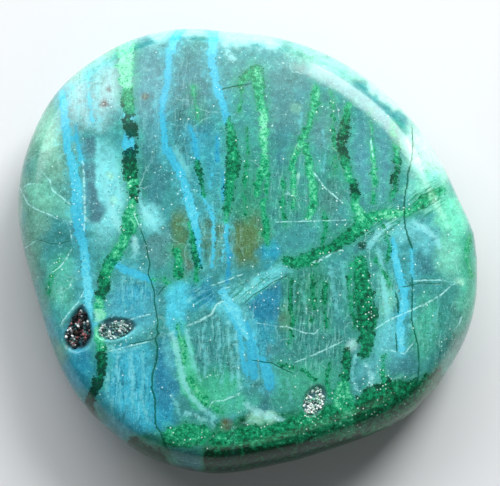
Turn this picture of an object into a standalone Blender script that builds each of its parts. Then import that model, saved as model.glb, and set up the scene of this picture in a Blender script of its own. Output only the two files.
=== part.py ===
"""Polished chrysocolla stone: one flat, rounded piece that fits in a palm.

The stone is a single solid. Its face is gently domed, its shoulders are ground round, its
rim follows a lopsided outline, and it stands on a small flat spot under its middle. Three
natural pockets in the face are lined with short quartz points, and a few chips mark the rim.

Origin: middle of the outline, on the plane of the flat spot. +Z up, +X across the stone.
"""
import math
import random

import bmesh
import bpy
import numpy as np

MM = 0.001
NAME = "chrysocolla_stone"

# Rim of the stone seen from above, in millimetres, anticlockwise from the right
RIM_POINTS = (
    (32.1, 0.0), (31.5, 2.6), (30.0, 6.2), (26.9, 12.9), (22.0, 19.8), (14.8, 25.9), (6.6, 29.7),
    (-2.0, 31.1), (-10.6, 31.4), (-19.0, 28.6), (-26.8, 22.2), (-31.1, 12.9), (-31.8, 3.8),
    (-29.3, -6.5), (-25.7, -17.0), (-20.9, -23.7), (-13.7, -29.1), (-5.0, -31.5), (4.2, -30.3),
    (11.9, -28.1), (20.2, -24.8), (25.8, -20.5), (29.9, -14.4), (31.9, -7.4),
)
RIM_STEPS = 24

# Heights in millimetres: the rim, then what lies above it and below it
RIM_HEIGHT = 7.4
SHOULDER_RISE = 5.9
CROWN_RISE = 2.6
HEEL_DROP = 5.5
BELLY_DROP = 2.3

# Ground shoulder: its width in millimetres, and how square its section is
SHOULDER_WIDTH = 4.4
SHOULDER_SWING = 1.2
SHOULDER_WIDEST_AT = math.radians(65.0)
SHOULDER_SQUARENESS = 2.5
HEEL_WIDTH = 5.4
HEEL_SQUARENESS = 2.15

# Flats left by the grinding: direction in degrees, tilt above the horizon, distance in millimetres
GROUND_FLATS = (
    (-84.0, 22.0, 30.75),
    (-33.0, 10.0, 32.15),
    (203.0, 4.0, 31.15),
    (48.0, 38.0, 29.1),
)
FLAT_BLEND = 0.35

# Slow waves of the hand-polished surface: height in millimetres, waves per metre, direction, phase
POLISH_WAVES = (
    (0.07, 34.0, 25.0, 0.4),
    (0.05, 47.0, 118.0, 1.9),
    (0.03, 71.0, 70.0, 3.1),
)

# Pockets: middle, half length, half width and depth in millimetres, turn in degrees, flare, points
POCKETS = (
    {"middle": (-22.9, -12.6), "reach": (2.5, 1.5), "depth": 0.85, "turn": -97.0, "flare": 0.35, "points": 34},
    {"middle": (-17.8, -12.8), "reach": (2.2, 1.2), "depth": 0.50, "turn": 8.0, "flare": -0.15, "points": 26},
    {"middle": (9.2, -22.7), "reach": (1.8, 1.2), "depth": 0.50, "turn": 62.0, "flare": 0.0, "points": 14},
)
POCKET_CUTS = 5
POCKET_LIP = 0.35
POINT_RADIUS = 0.55
POINT_SLOPE = 0.95
POINT_SIDES = 6
POINT_CEILING = 0.85

# Chips on the rim: direction in degrees, height, radius and depth in millimetres
CHIPS = (
    (0.5, 9.0, 2.0, 0.35),
    (-41.0, 6.0, 2.4, 0.40),
    (171.0, 10.5, 1.8, 0.25),
)

# Mesh: columns round the stone, rings from belly to crown, share of the rings on the edge
COLUMNS = 84
RINGS = 40
EDGE_SHARE = 9.0 / 20.0

STONE_COLOUR = (0.085, 0.36, 0.33, 1.0)
STONE_ROUGHNESS = 0.16
SMOOTH_BELOW = math.radians(32.0)
SEED = 11


def clear_scene():
    """Remove whatever the file holds, so that only the stone is left."""
    for thing in list(bpy.data.objects):
        bpy.data.objects.remove(thing, do_unlink=True)


def rim_radius(angles):
    """Distance from the middle to the rim at each angle, on a closed curve through RIM_POINTS."""
    points = np.array(RIM_POINTS)
    before, after, beyond = (np.roll(points, shift, axis=0) for shift in (1, -1, -2))
    curve = []
    for step in np.arange(RIM_STEPS) / RIM_STEPS:
        square, cube = step ** 2, step ** 3
        curve.append(0.5 * (2.0 * points + (after - before) * step
                            + (2.0 * before - 5.0 * points + 4.0 * after - beyond) * square
                            + (3.0 * points - before - 3.0 * after + beyond) * cube))
    curve = np.concatenate(curve)
    turn = np.arctan2(curve[:, 1], curve[:, 0])
    order = np.argsort(turn)
    radius = np.hypot(curve[:, 0], curve[:, 1])
    return np.interp(angles, turn[order], radius[order], period=2.0 * math.pi)


def moulded(directions):
    """Points of the stone's surface in millimetres, for unit directions from its middle."""
    turn = np.arctan2(directions[:, 1], directions[:, 0])
    tilt = np.arcsin(np.clip(directions[:, 2], -1.0, 1.0)) / (0.5 * math.pi)
    above = tilt >= 0.0
    reach = np.abs(tilt)
    radius = rim_radius(turn)
    width = np.where(above, SHOULDER_WIDTH + SHOULDER_SWING * np.cos(turn - SHOULDER_WIDEST_AT), HEEL_WIDTH)
    power = 2.0 / np.where(above, SHOULDER_SQUARENESS, HEEL_SQUARENESS)
    swing = np.clip(reach / EDGE_SHARE, 0.0, 1.0) * 0.5 * math.pi
    inward = np.clip((1.0 - reach) / (1.0 - EDGE_SHARE), 0.0, 1.0)
    span = np.where(reach <= EDGE_SHARE,
                    radius - width * (1.0 - np.cos(swing) ** power),
                    (radius - width) * inward)
    edge = np.sin(swing) ** power
    dome = 1.0 - (span / radius) ** 2
    height = np.where(above, SHOULDER_RISE * edge + CROWN_RISE * dome, -HEEL_DROP * edge - BELLY_DROP * dome)
    return np.column_stack([span * np.cos(turn), span * np.sin(turn), RIM_HEIGHT + height])


def ground(points):
    """Soft flats where the wheel touched the rim, and the slow waves of the polish."""
    for heading, tilt, distance in GROUND_FLATS:
        heading, tilt = math.radians(heading), math.radians(tilt)
        facing = np.array([math.cos(tilt) * math.cos(heading), math.cos(tilt) * math.sin(heading), math.sin(tilt)])
        middle = np.array([0.0, 0.0, RIM_HEIGHT])
        proud = (points - middle) @ facing - distance
        points = points - np.outer(FLAT_BLEND * np.logaddexp(0.0, proud / FLAT_BLEND), facing)
    rise = np.zeros(len(points))
    for height, rate, heading, phase in POLISH_WAVES:
        heading = math.radians(heading)
        along = points[:, 0] * math.cos(heading) + points[:, 1] * math.sin(heading)
        rise += height * np.sin(2.0 * math.pi * rate * MM * along + phase)
    points[:, 2] += rise * np.clip((points[:, 2] - RIM_HEIGHT) / SHOULDER_RISE, -1.0, 1.0)
    return points


def pocket_places(pocket, x, y):
    """Places in a pocket's own axes: the scaled distance from its middle, 1 on its lip."""
    turn = math.radians(pocket["turn"])
    across = x - pocket["middle"][0]
    up = y - pocket["middle"][1]
    along = (across * math.cos(turn) + up * math.sin(turn)) / pocket["reach"][0]
    aside = (up * math.cos(turn) - across * math.sin(turn)) / pocket["reach"][1]
    flare = 1.0 + pocket["flare"] * np.clip(along, -1.0, 1.0)
    return np.hypot(along, aside / flare)


def quartz_points(pocket, x, y, chance):
    """Height of the six-sided quartz points that line a pocket's floor."""
    rise = np.zeros_like(x)
    for _ in range(pocket["points"]):
        turn = math.radians(pocket["turn"])
        away = math.sqrt(chance.random())
        angle = chance.uniform(0.0, 2.0 * math.pi)
        along = away * math.cos(angle) * pocket["reach"][0]
        aside = away * math.sin(angle) * pocket["reach"][1]
        middle_x = pocket["middle"][0] + along * math.cos(turn) - aside * math.sin(turn)
        middle_y = pocket["middle"][1] + along * math.sin(turn) + aside * math.cos(turn)
        spin = chance.uniform(0.0, 2.0 * math.pi / POINT_SIDES)
        size = POINT_RADIUS * chance.uniform(0.6, 1.0)
        spread = np.full_like(x, -1.0)
        for side in range(POINT_SIDES):
            facing = spin + 2.0 * math.pi * side / POINT_SIDES
            spread = np.maximum(spread, (x - middle_x) * math.cos(facing) + (y - middle_y) * math.sin(facing))
        rise = np.maximum(rise, POINT_SLOPE * (size - spread))
    return rise


def refine_pockets(mesh):
    """Split the faces of the crown round every pocket into a fine grid."""
    near = []
    for face in mesh.faces:
        centre = face.calc_center_median() / MM
        if centre.z < RIM_HEIGHT:
            continue
        spots = [vertex.co / MM for vertex in face.verts] + [centre]
        x, y = np.array([spot.x for spot in spots]), np.array([spot.y for spot in spots])
        if min(pocket_places(pocket, x, y).min() for pocket in POCKETS) < 1.0 + POCKET_LIP:
            near.append(face)
    edges = list({edge for face in near for edge in face.edges})
    bmesh.ops.subdivide_edges(mesh, edges=edges, cuts=POCKET_CUTS, use_grid_fill=True)


def sink_pockets(mesh):
    """Push each pocket, with the quartz points on its floor, into the crown."""
    chance = random.Random(SEED)
    crown = [vertex for vertex in mesh.verts if vertex.co.z / MM > RIM_HEIGHT]
    x = np.array([vertex.co.x / MM for vertex in crown])
    y = np.array([vertex.co.y / MM for vertex in crown])
    sink = np.zeros_like(x)
    for pocket in POCKETS:
        bowl = np.clip((1.0 + POCKET_LIP - pocket_places(pocket, x, y)) / POCKET_LIP, 0.0, 1.0)
        bowl = bowl * bowl * (3.0 - 2.0 * bowl)
        rise = np.minimum(quartz_points(pocket, x, y, chance), POINT_CEILING * pocket["depth"])
        sink += bowl * (pocket["depth"] - rise)
    for vertex, depth in zip(crown, sink):
        vertex.co.z -= depth * MM


def knock_chips(points):
    """Shallow shell-shaped chips on the rim."""
    for heading, height, radius, depth in CHIPS:
        heading = math.radians(heading)
        outward = np.array([math.cos(heading), math.sin(heading), 0.0])
        span = rim_radius(np.array([heading]))[0]
        middle = outward * span + np.array([0.0, 0.0, height])
        near = np.clip(1.0 - np.linalg.norm(points - middle, axis=1) / radius, 0.0, 1.0)
        points = points - np.outer(depth * near * near * (3.0 - 2.0 * near), outward)
    return points


def centred(points):
    """The points shifted sideways, so that the origin is in the middle of the outline's box."""
    middle = 0.5 * (points.max(axis=0) + points.min(axis=0))
    return points - middle * np.array([1.0, 1.0, 0.0])


def stand_on_flat(mesh):
    """Cut the belly off at z = 0, which leaves the flat spot that the stone rests on."""
    everything = mesh.verts[:] + mesh.edges[:] + mesh.faces[:]
    cut = bmesh.ops.bisect_plane(mesh, geom=everything, plane_co=(0.0, 0.0, 0.0), plane_no=(0.0, 0.0, -1.0),
                                 clear_outer=True)
    ring = [part for part in cut["geom_cut"] if isinstance(part, bmesh.types.BMEdge)]
    bmesh.ops.contextual_create(mesh, geom=ring)


def stone_material():
    """Polished blue-green stone."""
    material = bpy.data.materials.new("polished_chrysocolla")
    material.use_nodes = True
    shader = material.node_tree.nodes["Principled BSDF"]
    shader.inputs["Base Color"].default_value = STONE_COLOUR
    shader.inputs["Roughness"].default_value = STONE_ROUGHNESS
    shader.inputs["Metallic"].default_value = 0.0
    material.diffuse_color = STONE_COLOUR
    return material


def build_stone():
    """The whole stone, moulded from a sphere of columns and rings."""
    mesh = bmesh.new()
    bmesh.ops.create_uvsphere(mesh, u_segments=COLUMNS, v_segments=RINGS, radius=1.0)
    directions = np.array([vertex.co[:] for vertex in mesh.verts])
    points = centred(knock_chips(ground(moulded(directions))))
    for vertex, point in zip(mesh.verts, points):
        vertex.co = point * MM
    refine_pockets(mesh)
    sink_pockets(mesh)
    stand_on_flat(mesh)
    bmesh.ops.triangulate(mesh, faces=mesh.faces[:])
    bmesh.ops.recalc_face_normals(mesh, faces=mesh.faces[:])

    data = bpy.data.meshes.new(NAME)
    mesh.to_mesh(data)
    mesh.free()
    data.materials.append(stone_material())
    data.shade_smooth()
    data.set_sharp_from_angle(angle=SMOOTH_BELOW)
    return bpy.data.objects.new(NAME, data)


def main():
    clear_scene()
    stones = bpy.data.collections.new("chrysocolla")
    bpy.context.scene.collection.children.link(stones)
    stones.objects.link(build_stone())


main()
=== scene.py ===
"""Looks of the polished chrysocolla stone.

A fine skin of the stone's form stands in place of the coarse solid. Its markings are painted on
its points as fields: how far each point lies inside a turquoise or malachite vein, how frosted or
fibrous the quartz is there, and which thin cracks run past. Node materials turn the fields into
colour, with grain of their own finer than the mesh. Quartz points line the pockets.
"""
import math
import random

import bpy
import numpy as np
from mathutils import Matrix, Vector


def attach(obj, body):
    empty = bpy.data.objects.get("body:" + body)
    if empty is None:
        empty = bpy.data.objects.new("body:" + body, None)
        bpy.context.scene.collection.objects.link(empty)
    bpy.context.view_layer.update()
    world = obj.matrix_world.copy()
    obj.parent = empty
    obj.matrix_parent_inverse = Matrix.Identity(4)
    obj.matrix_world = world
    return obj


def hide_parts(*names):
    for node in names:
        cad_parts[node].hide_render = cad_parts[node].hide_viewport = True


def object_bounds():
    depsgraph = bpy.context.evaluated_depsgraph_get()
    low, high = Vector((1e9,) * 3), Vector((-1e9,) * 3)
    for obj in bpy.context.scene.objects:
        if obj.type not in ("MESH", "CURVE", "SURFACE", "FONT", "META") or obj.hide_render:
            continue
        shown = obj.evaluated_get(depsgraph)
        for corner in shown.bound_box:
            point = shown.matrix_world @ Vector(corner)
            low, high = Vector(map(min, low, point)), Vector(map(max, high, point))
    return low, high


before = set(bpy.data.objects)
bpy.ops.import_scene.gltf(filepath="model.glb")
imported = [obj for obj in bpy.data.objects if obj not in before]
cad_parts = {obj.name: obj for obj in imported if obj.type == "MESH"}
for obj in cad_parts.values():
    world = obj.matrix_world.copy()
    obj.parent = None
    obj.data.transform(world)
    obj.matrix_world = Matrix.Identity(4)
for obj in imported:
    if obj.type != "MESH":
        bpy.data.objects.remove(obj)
CAD_LOW, CAD_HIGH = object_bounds()

MM = 0.001
NODE = "chrysocolla_stone"

# The photograph's frame in pixels, and the camera that took it
IMAGE_WIDTH = 500
IMAGE_HEIGHT = 486
CAMERA_TILT = math.radians(77.0)
CAMERA_DISTANCE = 0.42
CAMERA_AIM = Vector((0.0004, 0.0007, 0.008))
CAMERA_BACK = Vector((0.0, -math.cos(CAMERA_TILT), math.sin(CAMERA_TILT)))
CAMERA_UP = Vector((0.0, math.sin(CAMERA_TILT), math.cos(CAMERA_TILT)))
CAMERA_PLACE = CAMERA_AIM + CAMERA_BACK * CAMERA_DISTANCE
CAMERA_CLIP = (0.01, 20.0)
FOCUS_PX = 3010.0
SENSOR = 36.0

# Form of the stone in millimetres, the same values as its solid
RIM_POINTS = (
    (32.1, 0.0), (31.5, 2.6), (30.0, 6.2), (26.9, 12.9), (22.0, 19.8), (14.8, 25.9), (6.6, 29.7),
    (-2.0, 31.1), (-10.6, 31.4), (-19.0, 28.6), (-26.8, 22.2), (-31.1, 12.9), (-31.8, 3.8),
    (-29.3, -6.5), (-25.7, -17.0), (-20.9, -23.7), (-13.7, -29.1), (-5.0, -31.5), (4.2, -30.3),
    (11.9, -28.1), (20.2, -24.8), (25.8, -20.5), (29.9, -14.4), (31.9, -7.4),
)
RIM_STEPS = 24
RIM_HEIGHT = 7.4
SHOULDER_RISE = 5.9
CROWN_RISE = 2.6
HEEL_DROP = 5.5
BELLY_DROP = 2.3
SHOULDER_WIDTH = 4.4
SHOULDER_SWING = 1.2
SHOULDER_WIDEST_AT = math.radians(65.0)
SHOULDER_SQUARENESS = 2.5
HEEL_WIDTH = 5.4
HEEL_SQUARENESS = 2.15
EDGE_SHARE = 9.0 / 20.0
# Ground flats: heading and tilt in degrees, distance from the middle of the rim's level
GROUND_FLATS = (
    (-84.0, 22.0, 30.75),
    (-33.0, 10.0, 32.15),
    (203.0, 4.0, 31.15),
    (48.0, 38.0, 29.1),
)
FLAT_BLEND = 0.35
# Polish waves: height, waves to a metre, heading in degrees, phase
POLISH_WAVES = (
    (0.07, 34.0, 25.0, 0.4),
    (0.05, 47.0, 118.0, 1.9),
    (0.03, 71.0, 70.0, 3.1),
)
POCKETS = (
    {"middle": (-22.9, -12.6), "reach": (2.5, 1.5), "depth": 0.85, "turn": -97.0, "flare": 0.35,
     "points": 190, "size": 0.20, "tints": "smoky"},
    {"middle": (-17.8, -12.8), "reach": (2.2, 1.2), "depth": 0.50, "turn": 8.0, "flare": -0.15,
     "points": 150, "size": 0.17, "tints": "clear"},
    {"middle": (9.2, -22.7), "reach": (1.8, 1.2), "depth": 0.50, "turn": 62.0, "flare": 0.0,
     "points": 110, "size": 0.17, "tints": "white"},
)
POCKET_LIP = 0.35
POCKETS_ABOVE = RIM_HEIGHT + 0.8 * SHOULDER_RISE
# Chips on the edge: heading in degrees, height, radius, depth
CHIPS = (
    (0.5, 9.0, 2.0, 0.35),
    (-41.0, 6.0, 2.4, 0.40),
    (171.0, 10.5, 1.8, 0.25),
)

# Skin: cells across the crown (a multiple of 4) and rows down the edge
CROWN_CELLS = 248
EDGE_ROWS = 22

# Quartz points in the pockets. Their radius is a share of the pocket's size, the gap from tip to
# polished face a share of its depth, and their spread a share of its reach; the lean is in radians
POINT_RADII = (0.6, 1.5)
POINT_DROPS = (0.04, 0.5)
POINT_LEANS = (0.0, 0.5)
POINT_SPREAD = 1.02
POINT_SIDES = 6
POINT_TURN = math.radians(17.0)
POINT_SEED = 41
# How far a point is sunk in the floor and its least lengths, in millimetres; its tip, in its radius
POINT_ROOT = 0.15
SHORTEST_POINT = 0.3
SHORTEST_SHAFT = 0.12
TIP_LENGTH = 1.3

# Tints of the quartz points (sRGB, 0 to 255)
TINTS = {
    "smoky": ((22, 26, 28), (40, 44, 46), (30, 34, 38), (120, 130, 132), (228, 236, 236), (146, 96, 98),
              (52, 110, 112), (80, 70, 66)),
    "clear": ((196, 220, 218), (150, 190, 188), (232, 242, 240), (90, 140, 140), (120, 170, 160),
              (60, 84, 86)),
    "white": ((240, 248, 244), (214, 232, 226), (160, 206, 190), (120, 180, 160), (226, 240, 236)),
}

# Colours of the stone in white light (sRGB, 0 to 255)
COLOURS = {
    "teal": (72, 148, 150),
    "deep_teal": (58, 128, 130),
    "sage": (124, 172, 156),
    "pearl": (190, 218, 224),
    "frost": (142, 218, 226),
    "mist": (112, 188, 196),
    "ice": (196, 240, 244),
    "chalk": (216, 240, 224),
    "white": (240, 250, 246),
    "lilac": (92, 150, 162),
    "ash": (98, 144, 148),
    "slate": (68, 128, 138),
    "smoke": (78, 112, 128),
    "blue_quartz": (88, 168, 186),
    "azure": (54, 160, 190),
    "deep_azure": (44, 128, 164),
    "sky": (92, 205, 232),
    "aqua": (122, 212, 224),
    "bright_sky": (130, 222, 240),
    "halo_blue": (92, 184, 204),
    "turquoise": (78, 192, 224),
    "sea": (48, 152, 192),
    "deep_sea": (34, 108, 148),
    "green_quartz": (66, 142, 134),
    "fern": (50, 130, 108),
    "mint": (140, 215, 192),
    "pale_mint": (178, 228, 208),
    "soft_mint": (138, 226, 184),
    "mint_haze": (88, 190, 160),
    "halo_green": (74, 166, 132),
    "cream": (166, 224, 206),
    "leaf": (72, 190, 145),
    "jade": (96, 206, 168),
    "bright_green": (38, 172, 122),
    "malachite": (30, 118, 88),
    "green": (8, 122, 80),
    "dark_green": (0, 50, 30),
    "ink": (6, 92, 70),
    "night": (12, 52, 38),
    "olive": (96, 124, 84),
    "umber": (112, 98, 70),
    "rust": (112, 70, 62),
}
QUARTZ = "teal"

# Kinds of vein: how three noises (fraying, crumbs and drift) push the edge, in pixels, and where it
# fades in; how much it covers; how the noises and a shift change its tone; colours along the tone
WISP_LOOK = {
    "edge": (1.8, 1.4, 1.4), "fade": (-1.8, 2.4), "cover": 0.62, "tone": (0.0, 0.15, 0.0), "shift": 0.0,
    "colours": ((0.0, "ice"), (0.2, "frost"), (0.4, "mist"), (0.6, "mint_haze")),
}
TURQUOISE_LOOK = {
    "edge": (1.8, 1.2, 1.6), "fade": (-0.6, 0.8), "cover": 0.88, "tone": (0.16, 0.16, 0.0), "shift": 0.12,
    "colours": ((0.0, "ice"), (0.22, "bright_sky"), (0.45, "turquoise"), (0.75, "sea"), (1.0, "deep_sea")),
}
MALACHITE_LOOK = {
    "edge": (2.4, 1.8, 2.8), "fade": (-0.5, 0.7), "cover": 0.92, "tone": (0.32, 0.22, 0.2), "shift": 0.08,
    "colours": ((0.0, "cream"), (0.25, "soft_mint"), (0.5, "bright_green"), (0.75, "green"),
                (1.0, "dark_green")),
}
# The three noises: scale to a millimetre and detail
FRAY = (2.0, 3.0)
CRUMB = (5.5, 2.0)
DRIFT = (0.8, 3.0)
# Stretched noises: scale along each axis, and turn about the vertical in degrees
CLOUD_GRAIN = ((0.22, 0.12, 0.2), 20.0)
STRAND_GRAIN = ((3.0, 0.42, 0.6), 3.0)
HATCH_GRAIN = ((0.5, 3.6, 0.6), -38.0)
# Where a noise or a field starts and stops counting, and for some the shares it gives there
GREEN_DRIFT = (0.1, 0.9, 0.0, 0.35)
BLUE_DRIFT = (-0.1, -0.9, 0.0, 0.3)
HALO_REACH = (-10.0, 1.0)
PALE_STRANDS, DARK_STRANDS = (0.52, 0.70), (0.49, 0.32)
PALE_HATCH, DARK_HATCH = (0.52, 0.64), (0.49, 0.36)
FROST = (0.45, 1.1, 0.0, 0.45)
WEB_LINES = (0.022, 0.004)
WEB_PLACES = (-0.1, 0.9, 0.0, 0.34)
SEAM_FADE, CRACK_FADE = (1.5, 0.5), (1.3, 0.4)
SEAM_BREAKS = (0.36, 0.56, 0.08, 0.7)
# Weights of the noises in the halos, in the quartz's brightness, in its frost and in a line's wobble
HALO_DRIFT = 6.0
QUARTZ_LIGHT = (0.18, 0.2, 0.24)
FROST_GRAIN = (0.6, 1.0)
LINE_WOBBLE = 0.7
# Scales of the web of cracks and of the breaks in seams; how coarse and how far the web is bent
WEB_CELLS = 0.17
WEB_BEND = (0.5, 2.2)
SEAM_GRAIN = 1.7
# Specks, the white ones painted glints of light and the dark ones grains: cells to a millimetre,
# channel of the cells' chance, size, and density where they are thickest
PAINTED_GLINTS = {"scale": 2.6, "axis": 0, "size": (0.34, 0.16), "density": 0.42}
DARK_GRAINS = {"scale": 3.3, "axis": 1, "size": (0.36, 0.18), "density": 0.4}
CRACK_COVER, PAINTED_GLINT_COVER, GRAIN_COVER = 0.85, 0.85, 0.65
# Share of each channel that the depth of the stone lets through, and how its face takes light
DEPTH_TINT = (0.78, 1.0, 0.96)
POLISH_ROUGHNESS, MALACHITE_ROUGHNESS, PIT_ROUGHNESS = 0.07, 0.06, 0.4
STONE_SHADER = {
    "IOR": 1.46,
    "Specular IOR Level": 0.4,
    "Subsurface Weight": 0.3,
    "Subsurface Radius": (0.5, 1.0, 1.0),
    "Subsurface Scale": 0.7 * MM,
}
MALACHITE_HEIGHT, CRUMB_HEIGHT = -0.5, 0.25
BUMP = {"Strength": 0.35, "Distance": 0.03 * MM}

# Ripples that push painted outlines about: reach and bump size in pixels, and two seeds
CLOUD_RIPPLES = ((3.5, 16.0, 11, 13), (1.5, 6.0, 12, 14))
PANE_RIPPLES = ((1.2, 9.0, 15, 16),)
PATCH_RIPPLES = ((1.5, 9.0, 21, 22),)
# A ripple is a sum of waves, whose lengths are so many times the size of its bumps
RIPPLE_WAVES = 9
RIPPLE_LENGTHS = (1.3, 3.0)
RIPPLE_LEVEL = 3.5
# Below the rim the markings lean across and up by so many pixels and wander as well, from a height
# under the rim and over a height, both in millimetres
LEAN = (22.0, 14.0)
LEAN_WANDER = 7.0
LEAN_BUMPS = 60.0
LEAN_SEEDS = (3, 4)
LEAN_FROM = 2.0
LEAN_OVER = 5.4
# On the far side of the edge the quartz turns plain: strength, height above the rim where it starts,
# height over which it does, and the band of distance behind the middle, in millimetres
FAR_SIDE_STRENGTH = 0.75
FAR_SIDE_FROM = 3.0
FAR_SIDE_OVER = 4.0
FAR_SIDE_BAND = (2.0, 14.0)
# Fields, in pixels: how far outside a vein its distance is told, how deep a patch is, how far round
# a line its field is worked out and where its mask fades
VEIN_REACH = 12.0
PATCH_DEPTH = 5.0
LINE_REACH = 8.0
LINE_MASK = (2.2, 3.6)
FAR_AWAY = 1e9
# Tone away from all veins, a line's limit in half widths, and where pockets and clouds fade in reaches
PLAIN_TONE = 0.4
LINE_LIMIT = 6.0
PIT_FADE = (0.9, 1.3)
CLOUD_FADE = (0.45, 1.3)

# Studio lights: name, heading (90 is behind the stone) and height in degrees, distance and size in
# metres, radiance
SOFTBOXES = (
    ("back_window", 100.0, 41.0, 0.8, (1.44, 0.61), 3.5),
    ("right_window", 57.0, 40.0, 0.7, (0.30, 0.34), 12.0),
    ("front_fill", -70.0, 55.0, 0.9, (0.5, 0.4), 0.8),
)
SKY_COLOUR = (0.95, 0.98, 1.0, 1.0)
SKY_STRENGTH = 0.09
FLOOR_SIZE = 4.0
FLOOR_COLOURS = ((0.66, 0.68, 0.70, 1.0), (0.72, 0.73, 0.74, 1.0))

# Soft clouds in the quartz, and along the far rim pale clouds that are painted highlights: colour,
# strength, middle, reach across and down in pixels, and for some a turn in degrees
CLOUDS = (
    ("sage", 1.0, 46, 138, 30, 62, -20),
    ("sage", 0.9, 32, 214, 22, 48),
    ("deep_teal", 0.8, 58, 243, 22, 16, 20),
    ("sage", 0.7, 34, 262, 14, 24),
    ("pearl", 0.8, 92, 92, 42, 34, -35),
    ("frost", 0.9, 106, 192, 26, 54),
    ("lilac", 0.9, 151, 106, 18, 66),
    ("slate", 0.9, 152, 178, 18, 34),
    ("frost", 0.9, 148, 216, 16, 16),
    ("ash", 0.8, 161, 248, 16, 22),
    ("slate", 0.9, 190, 108, 24, 62),
    ("azure", 0.4, 205, 160, 20, 40),
    ("teal", 0.9, 246, 120, 22, 40),
    ("green_quartz", 0.8, 248, 172, 20, 28),
    ("ash", 0.8, 290, 104, 34, 40),
    ("slate", 0.8, 285, 156, 22, 30),
    ("green_quartz", 0.7, 284, 200, 26, 34),
    ("ash", 0.8, 327, 126, 16, 30),
    ("green_quartz", 0.7, 331, 162, 12, 20),
    ("ash", 0.8, 326, 198, 18, 24),
    ("lilac", 0.9, 376, 160, 26, 50),
    ("pale_mint", 1.0, 428, 158, 22, 32, -35),
    ("mint", 0.9, 428, 190, 24, 20, -35),
    ("mint", 1.0, 450, 216, 18, 24, -20),
    ("mist", 0.9, 424, 238, 18, 18),
    ("slate", 0.9, 427, 264, 16, 12),
    ("mint", 0.8, 452, 258, 16, 28),
    ("sage", 0.8, 462, 318, 14, 52, 12),
    ("green_quartz", 0.9, 436, 322, 26, 50, 12),
    ("olive", 0.9, 182, 232, 12, 28),
    ("olive", 0.8, 213, 240, 16, 30),
    ("olive", 1.0, 246, 238, 18, 32),
    ("fern", 0.8, 247, 206, 18, 18),
    ("azure", 0.9, 270, 253, 14, 10, -25),
    ("umber", 0.7, 190, 262, 8, 14),
    ("blue_quartz", 1.0, 126, 306, 36, 26),
    ("azure", 0.7, 136, 296, 18, 18),
    ("azure", 0.9, 200, 297, 18, 18),
    ("deep_azure", 0.7, 205, 292, 14, 10),
    ("mist", 0.9, 64, 276, 18, 16),
    ("sage", 0.8, 56, 300, 18, 20),
    ("azure", 0.9, 60, 322, 18, 18),
    ("sage", 0.9, 64, 352, 12, 12, 40),
    ("azure", 1.0, 84, 378, 20, 34, -20),
    ("sky", 0.6, 120, 362, 18, 14),
    ("azure", 1.0, 132, 392, 30, 48),
    ("deep_azure", 0.9, 165, 384, 11, 50),
    ("smoke", 0.6, 124, 410, 5, 14),
    ("azure", 0.8, 150, 420, 30, 22),
    ("teal", 1.0, 218, 346, 26, 36),
    ("leaf", 0.6, 218, 386, 26, 22),
    ("azure", 0.7, 262, 306, 18, 22),
    ("azure", 0.6, 262, 338, 18, 24),
    ("fern", 0.9, 312, 296, 34, 30),
    ("green_quartz", 0.9, 318, 340, 34, 26),
    ("green_quartz", 0.9, 306, 378, 36, 26),
    ("teal", 0.6, 335, 305, 12, 30),
    ("olive", 0.6, 285, 318, 7, 9),
    ("ash", 0.7, 271, 351, 6, 8),
    ("slate", 0.8, 262, 398, 12, 14),
    ("slate", 0.8, 329, 390, 10, 8),
    ("mist", 0.9, 384, 334, 12, 20),
    ("mint", 0.6, 388, 300, 10, 26),
    ("slate", 0.8, 403, 368, 16, 14),
    ("mist", 0.6, 374, 374, 14, 14),
    ("chalk", 0.8, 430, 148, 20, 30, -35),
    # Painted highlight: chalk and aqua along the far rim stand in for the windows' reflection on the
    # shoulder
    ("chalk", 0.8, 384, 90, 62, 9, 41),
    ("aqua", 0.7, 100, 66, 20, 10, -38),
    ("mint_haze", 0.5, 424, 330, 14, 40, 8),
    ("green_quartz", 0.6, 232, 348, 10, 30),
    ("aqua", 0.5, 176, 352, 10, 20, 10),
    ("deep_azure", 0.6, 92, 362, 12, 30, -20),
    ("fern", 0.5, 300, 400, 30, 14),
    ("frost", 0.5, 402, 232, 26, 10, -36),
    ("mist", 0.5, 60, 306, 20, 44, -10),
    ("aqua", 0.5, 118, 334, 40, 10, -14),
    ("jade", 0.5, 228, 402, 30, 18),
    ("aqua", 0.6, 238, 320, 14, 26, -30),
    ("jade", 0.4, 300, 384, 40, 24),
    ("jade", 0.5, 452, 214, 18, 30, -20),
    ("aqua", 0.5, 384, 346, 22, 24),
    # Painted reflection: ice and pale mint along the far rim and its bevel stand in for the bright window
    # reflection there
    ("ice", 0.8, 165, 34, 46, 8, -4),
    ("ice", 0.8, 245, 38, 56, 8, 6),
    ("pale_mint", 0.7, 330, 64, 50, 12, 24),
    ("pale_mint", 0.6, 96, 56, 40, 12, -38),
    ("pale_mint", 0.6, 44, 128, 16, 34, -24),
    ("mint_haze", 0.7, 470, 280, 12, 60),
    ("mint_haze", 0.7, 452, 370, 16, 30, 30),
    ("mint_haze", 0.5, 60, 286, 16, 40),
    ("olive", 0.5, 254, 226, 14, 16),
    ("fern", 0.6, 250, 190, 14, 20),
    ("fern", 0.5, 330, 180, 16, 40),
    ("fern", 0.5, 350, 226, 40, 12, -28),
    ("malachite", 0.9, 150, 450, 30, 14, 25),
    ("malachite", 0.9, 232, 452, 40, 14),
)
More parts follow.
